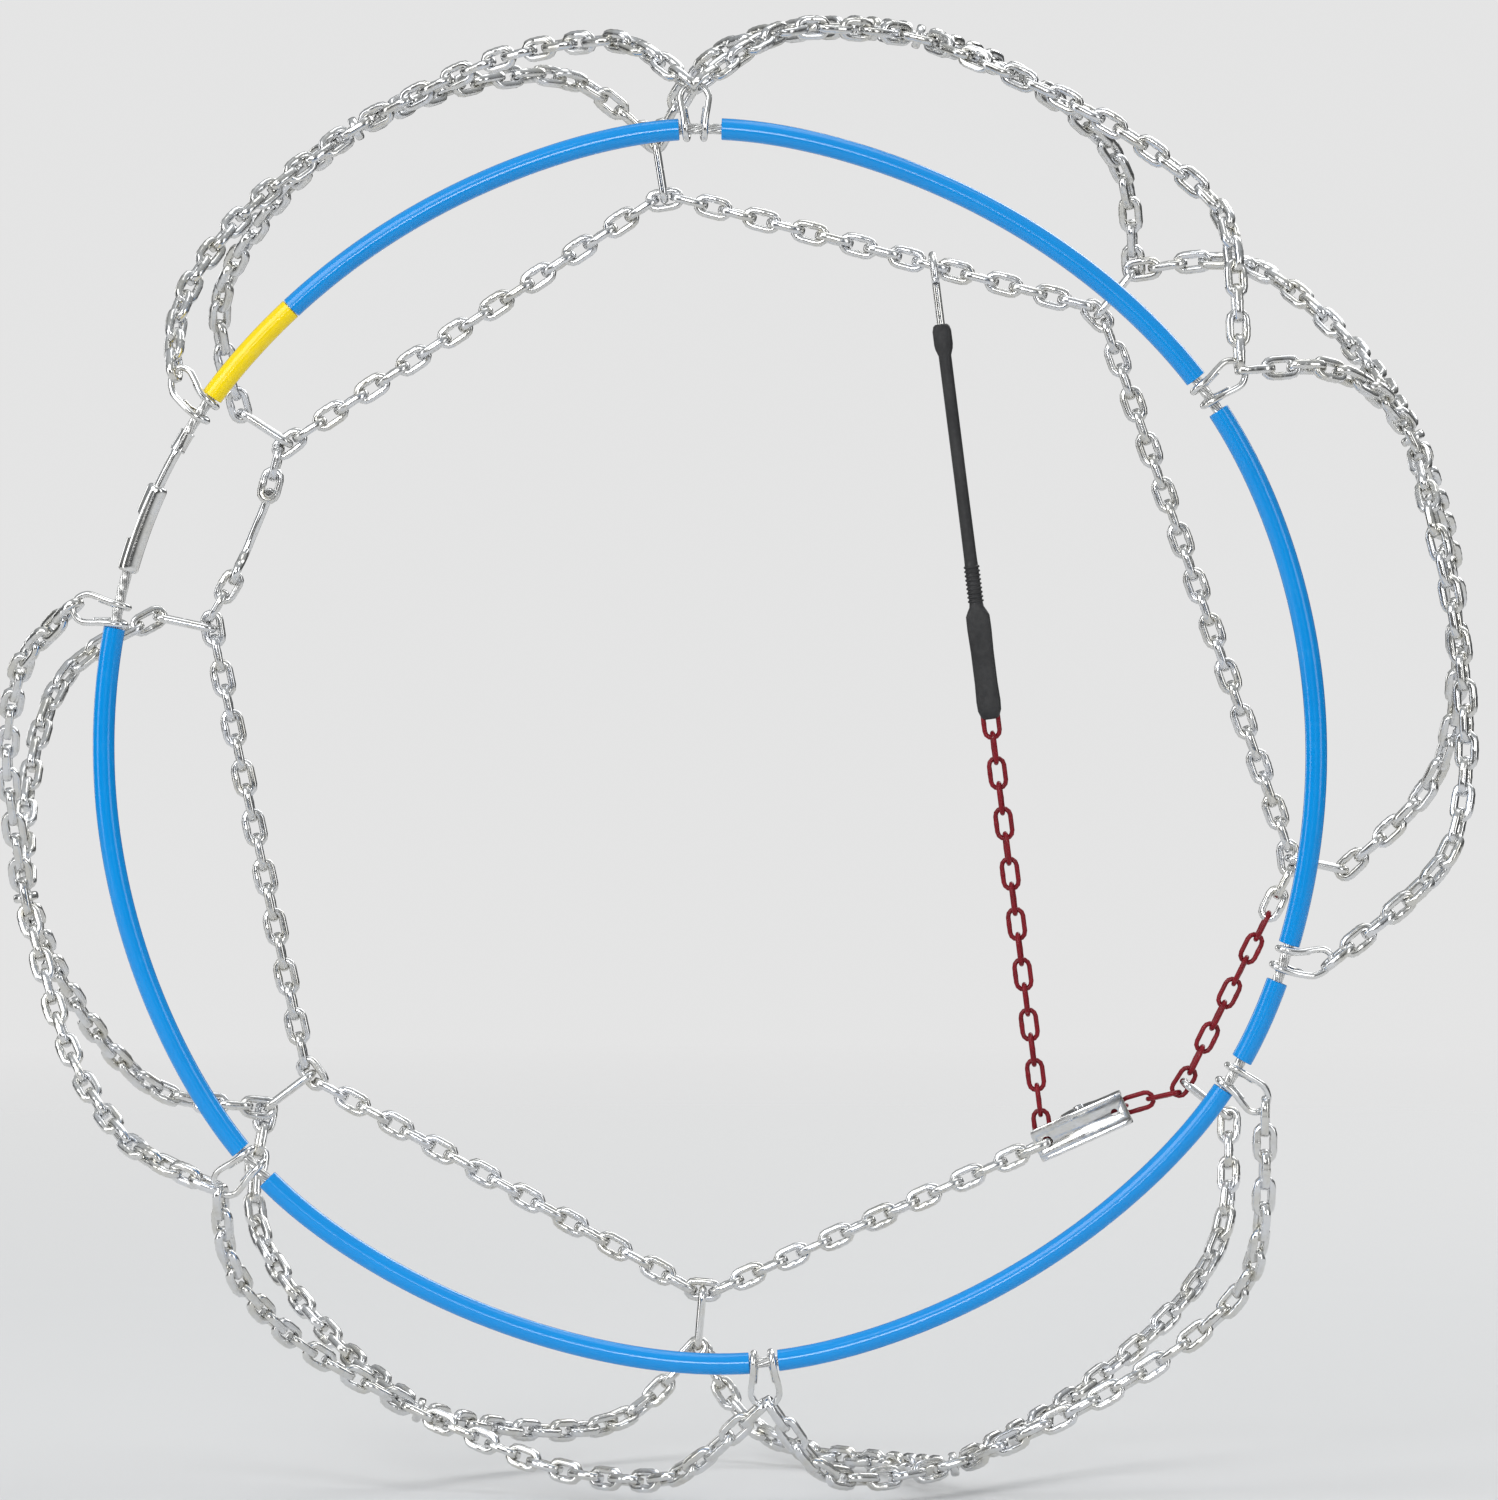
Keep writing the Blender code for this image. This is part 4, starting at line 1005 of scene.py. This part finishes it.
def make_tension_line(rubber, zinc):
    def on_line(distance, rise=0.0):
        return LINE_FOOT + LINE_DIRECTION * distance + OUT * rise

    place = placed(OUT.cross(LINE_DIRECTION), OUT, on_line(CHAIN_TOP))
    piece = add_piece("rubber_strap", "rubber_tensioner", strap_shape(), rubber, None, place, sharp=50)
    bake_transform(piece)

    centre = hook_distance()
    stops = (STRAP_TOP - 6 * MM, STRAP_TOP + 2 * MM, centre - 8 * MM, centre)
    points = [on_line(stop) for stop in stops]
    for index in range(1, 9):
        turn = radians(22.5 * index)
        lift = HOOK_BEND * (cos(turn) - 1)
        points.append(on_line(centre + HOOK_BEND * sin(turn), lift))
    points.append(on_line(centre - HOOK_TIP, -2 * HOOK_BEND))
    points.append(on_line(centre - HOOK_TIP - 1.5 * MM, -2 * HOOK_BEND - 0.7 * MM))
    shape = wire(smooth_path(points, 0.8 * MM), HOOK_WIRE, sides=16)
    add_piece("strap_hook", "tensioner_hook", shape, zinc, "tensioner_hook")


# ---- materials


LINES_ACROSS = 900.0
LINES_ALONG = 9.0


class Nodes:
    """The node tree of a material or the world, with short calls for the nodes it uses."""

    def __init__(self, name, kind="materials", shader="Principled BSDF", place="Object"):
        self.owner = getattr(bpy.data, kind).new(name)
        self.owner.use_nodes = True
        self.tree = self.owner.node_tree
        self.shader = self.tree.nodes[shader]
        self.place = self.node("ShaderNodeTexCoord").outputs[place]

    def feed(self, socket, value):
        """Sets a socket to a number or a colour, or links another socket to it."""
        if isinstance(value, bpy.types.NodeSocket):
            self.tree.links.new(value, socket)
        else:
            socket.default_value = (*value, 1) if isinstance(value, tuple) else value

    def node(self, kind, inputs=(), **settings):
        node = self.tree.nodes.new(kind)
        for name, value in settings.items():
            setattr(node, name, value)
        for socket, value in dict(inputs).items():
            self.feed(node.inputs[socket], value)
        return node

    def noise(self, scale, detail=4.0, rough=0.55, vector=None):
        inputs = {"Scale": scale, "Detail": detail, "Roughness": rough, "Vector": vector or self.place}
        return self.node("ShaderNodeTexNoise", inputs).outputs["Fac"]

    def ramp(self, value, low, high, start=0.35, end=0.65):
        """A value or a colour that goes from low to high over a part of the input's range."""
        if isinstance(low, tuple):
            return self.blend(self.ramp(value, 0.0, 1.0, start, end), low, high)
        inputs = {"Value": value, "From Min": start, "From Max": end, "To Min": low, "To Max": high}
        return self.node("ShaderNodeMapRange", inputs).outputs["Result"]

    def blend(self, share, first, second):
        """A colour that goes from the first to the second by a share."""
        inputs = {0: share, 6: first, 7: second}
        return self.node("ShaderNodeMix", inputs, data_type="RGBA").outputs[2]

    def maths(self, operation, *values):
        return self.node("ShaderNodeMath", enumerate(values), operation=operation).outputs[0]

    def pointiness(self):
        return self.node("ShaderNodeNewGeometry").outputs["Pointiness"]

    def bump(self, height, strength, distance):
        inputs = {"Height": height, "Strength": strength, "Distance": distance}
        self.set(Normal=self.node("ShaderNodeBump", inputs).outputs["Normal"])

    def set(self, **values):
        for name, value in values.items():
            self.feed(self.shader.inputs[name.replace("_", " ")], value)
        return self.owner


def zinc_material(name, tones, gloss, dents):
    """Zinc plating: uneven gloss, faint warm and cold patches, dull grey patches, painted shade in
    hollows.
    """
    nodes = Nodes(name)
    patches = nodes.ramp(nodes.noise(90, 3), *tones)
    # Painted shade: the hollows, found by pointiness, are darkened towards grey.
    painted_hollow_shade = nodes.ramp(nodes.pointiness(), 0.55, 0.0, 0.40, 0.49)
    dull = nodes.ramp(nodes.noise(420, 5, 0.6), 0.0, 0.35, 0.55, 0.75)
    # The grey goes both to random dull patches and to the painted shade in the hollows.
    colour = nodes.blend(nodes.maths("MAXIMUM", painted_hollow_shade, dull), patches, (0.34, 0.34, 0.34))
    rough = nodes.ramp(nodes.noise(300, 4), *gloss, 0.3, 0.7)
    nodes.bump(nodes.noise(520, 3), dents, 0.00008)
    return nodes.set(Base_Color=colour, Metallic=1.0, Roughness=rough)


def steel_material():
    nodes = Nodes("cable_steel")
    colour = nodes.ramp(nodes.noise(260, 4), (0.78, 0.78, 0.77), (0.62, 0.62, 0.61))
    rough = nodes.ramp(nodes.noise(700, 4), 0.24, 0.42)
    nodes.bump(nodes.noise(1400, 3), 0.3, 0.00005)
    return nodes.set(Base_Color=colour, Metallic=1.0, Roughness=rough)


def tube_material(name, colour, pale, deep):
    """Extruded plastic: fine lines along the tube, small scuffs and a glossy skin."""
    nodes = Nodes(name)
    x, y, z = nodes.node("ShaderNodeSeparateXYZ", {0: nodes.place}).outputs
    x = nodes.maths("SUBTRACT", x, HOOP_CENTRE.x)
    z = nodes.maths("SUBTRACT", z, HOOP_CENTRE.z)
    square = nodes.maths("ADD", nodes.maths("MULTIPLY", x, x), nodes.maths("MULTIPLY", z, z))
    fine = nodes.maths("MULTIPLY", nodes.maths("SQRT", square), LINES_ACROSS)
    across = nodes.maths("MULTIPLY", y, LINES_ACROSS)
    along = nodes.maths("MULTIPLY", nodes.maths("ARCTAN2", z, x), LINES_ALONG)
    join = nodes.node("ShaderNodeCombineXYZ", {0: fine, 1: across, 2: along})
    lines = nodes.noise(1.0, 1, 0.5, join.outputs[0])
    scuffs = nodes.ramp(nodes.noise(160, 4, 0.6), 0.0, 0.25, 0.58, 0.75)
    base = nodes.ramp(nodes.noise(24, 2), colour, deep, 0.3, 0.7)
    shade = nodes.blend(scuffs, base, pale)
    gloss = nodes.ramp(lines, 0.16, 0.18, 0.3, 0.7)
    rough = nodes.maths("ADD", gloss, nodes.maths("MULTIPLY", scuffs, 0.2))
    nodes.bump(lines, 0.006, 0.00006)
    return nodes.set(Base_Color=shade, Roughness=rough, Coat_Weight=0.2, Coat_Roughness=0.1, IOR=1.42)


def red_material():
    """Dark red lacquer, worn through to the metal on a few edges."""
    nodes = Nodes("dark_red_lacquer")
    colour = nodes.ramp(nodes.noise(180, 4), (0.17, 0.002, 0.008), (0.24, 0.004, 0.013))
    worn = nodes.ramp(nodes.noise(520, 6, 0.7), 0.0, 1.0, 0.64, 0.7)
    edge = nodes.ramp(nodes.pointiness(), 0.0, 1.0, 0.52, 0.6)
    chips = nodes.maths("MULTIPLY", worn, edge)
    shade = nodes.blend(chips, colour, (0.45, 0.43, 0.42))
    rough = nodes.ramp(nodes.noise(600, 4), 0.24, 0.42)
    nodes.bump(nodes.noise(800, 4), 0.2, 0.0001)
    return nodes.set(Base_Color=shade, Roughness=rough, Metallic=chips, IOR=1.36)


def rubber_material():
    """Moulded black rubber with a fine grain and dusty patches."""
    nodes = Nodes("black_rubber")
    colour = nodes.ramp(nodes.noise(60, 5), (0.011, 0.011, 0.012), (0.028, 0.028, 0.029))
    rough = nodes.ramp(nodes.noise(500, 5), 0.42, 0.66)
    nodes.bump(nodes.noise(2400, 3), 0.35, 0.0001)
    return nodes.set(Base_Color=colour, Roughness=rough)


# ---- studio


def area_light(name, place, size, brightness):
    """A soft light that faces the wheel's centre."""
    data = bpy.data.lights.new(name, "AREA")
    data.shape = "RECTANGLE"
    data.size, data.size_y = size
    data.energy = brightness * pi * size[0] * size[1]
    light = scene_object(name, data)
    light.location = place
    light.rotation_euler = (-light.location).to_track_quat("-Z", "Y").to_euler()


CAMERA_DISTANCE = 5.0
CAMERA_AZIMUTH = 0.84
CAMERA_ELEVATION = 2.2
FOCAL_LENGTH = 277.5
SENSOR_WIDTH = 36
CAMERA_SHIFT = (2 / 1500, 3 / 1500)
FLOOR_HEIGHT = -0.3175
FLOOR_RADIUS = 3.0
FLOOR_COLOUR = (0.72, 0.72, 0.72)
BACKDROP = (0.78, 0.78, 0.78)
ROOM_COLOUR = (0.95, 0.98, 1.0)
ROOM_STRENGTH = (0.07, 0.55)


def make_camera():
    azimuth, elevation = radians(CAMERA_AZIMUTH), radians(CAMERA_ELEVATION)
    data = bpy.data.cameras.new("camera")
    data.lens = FOCAL_LENGTH
    data.sensor_width = SENSOR_WIDTH
    data.clip_end = 60
    data.shift_x, data.shift_y = CAMERA_SHIFT
    camera = scene_object("camera", data)
    camera.location = CAMERA_DISTANCE * Vector(
        (
            sin(azimuth) * cos(elevation),
            -cos(azimuth) * cos(elevation),
            sin(elevation),
        )
    )
    camera.rotation_euler = (-camera.location).to_track_quat("-Z", "Y").to_euler()
    bpy.context.scene.camera = camera


def make_floor():
    """A round pale floor that fades out into the background round its edge."""
    shape = bmesh.new()
    bmesh.ops.create_circle(shape, cap_ends=True, segments=96, radius=FLOOR_RADIUS)
    mesh = bpy.data.meshes.new("floor")
    shape.to_mesh(mesh)
    shape.free()
    floor = scene_object("floor", mesh)
    floor.location.z = FLOOR_HEIGHT
    nodes = Nodes("pale_floor")
    length = nodes.node("ShaderNodeVectorMath", {0: nodes.place}, operation="LENGTH")
    seen = nodes.ramp(length.outputs["Value"], 1.0, 0.0, FLOOR_RADIUS * 0.35, FLOOR_RADIUS)
    nodes.set(Base_Color=FLOOR_COLOUR, Roughness=0.9, Alpha=seen, Specular_IOR_Level=0.1)
    mesh.materials.append(nodes.owner)


def make_world():
    """A pale backdrop; what the metal reflects is brighter overhead and darker towards the horizon."""
    nodes = Nodes("studio", "worlds", "Background", "Generated")
    bpy.context.scene.world = nodes.set(Color=BACKDROP)
    height = nodes.node("ShaderNodeSeparateXYZ", {0: nodes.place}).outputs["Z"]
    strength = nodes.ramp(height, *ROOM_STRENGTH, 0.0, 0.8)
    room = nodes.node("ShaderNodeBackground", {"Color": ROOM_COLOUR, "Strength": strength})
    seen = nodes.node("ShaderNodeLightPath").outputs["Is Camera Ray"]
    mix = nodes.node("ShaderNodeMixShader", {0: seen, 1: room.outputs[0], 2: nodes.shader.outputs[0]})
    nodes.feed(nodes.tree.nodes["World Output"].inputs["Surface"], mix.outputs[0])


def make_studio():
    make_floor()
    make_world()
    for name, place, size, brightness in (
        ("key", (-2.3, -2.6, 2.3), (2.4, 2.4), 3.6),
        ("front", (-0.3, -6.0, 1.2), (4.0, 1.8), 0.7),
        ("flash", (-0.3, -5.2, 0.95), (1.1, 1.1), 11.0),
        ("side", (-3.4, -1.6, 0.1), (1.0, 2.4), 2.8),
        ("fill", (2.8, -2.2, 0.7), (1.2, 2.2), 2.4),
        ("top", (0.4, 0.3, 3.0), (2.2, 1.6), 1.7),
        ("back", (1.6, 2.8, 2.0), (2.2, 1.8), 3.4),
        ("back_low", (-2.4, 2.6, 0.5), (1.2, 1.6), 1.8),
    ):
        area_light(name, place, size, brightness)
    bpy.context.scene.view_settings.view_transform = "Standard"


make_camera()

# Each finish is a material and the slot that it goes with.
zinc = (
    zinc_material("bright_zinc", ((0.76, 0.77, 0.79), (0.68, 0.67, 0.63)), (0.13, 0.26), 0.07),
    "zinc",
)
smooth_zinc = (
    zinc_material("smooth_zinc", ((0.78, 0.79, 0.80), (0.72, 0.71, 0.68)), (0.09, 0.17), 0.03),
    "zinc",
)
steel = (steel_material(), "cable_steel")
blue = (
    tube_material("blue_plastic", (0.0, 0.29, 0.77), (0.03, 0.36, 0.80), (0.0, 0.27, 0.73)),
    "blue_plastic",
)
yellow = (
    tube_material("yellow_plastic", (1.0, 0.76, 0.0), (1.0, 0.84, 0.20), (0.96, 0.71, 0.0)),
    "yellow_plastic",
)
red = (red_material(), "red_paint")
rubber = (rubber_material(), "black_rubber")

make_net(make_shackles(smooth_zinc), zinc)
make_hoop(blue, yellow, steel, smooth_zinc)
make_side_hooks(smooth_zinc)
make_side_chains(zinc, red)
make_closure_hook(smooth_zinc)
make_ratchet(zinc, steel)
make_tension_line(rubber, zinc)
make_studio()
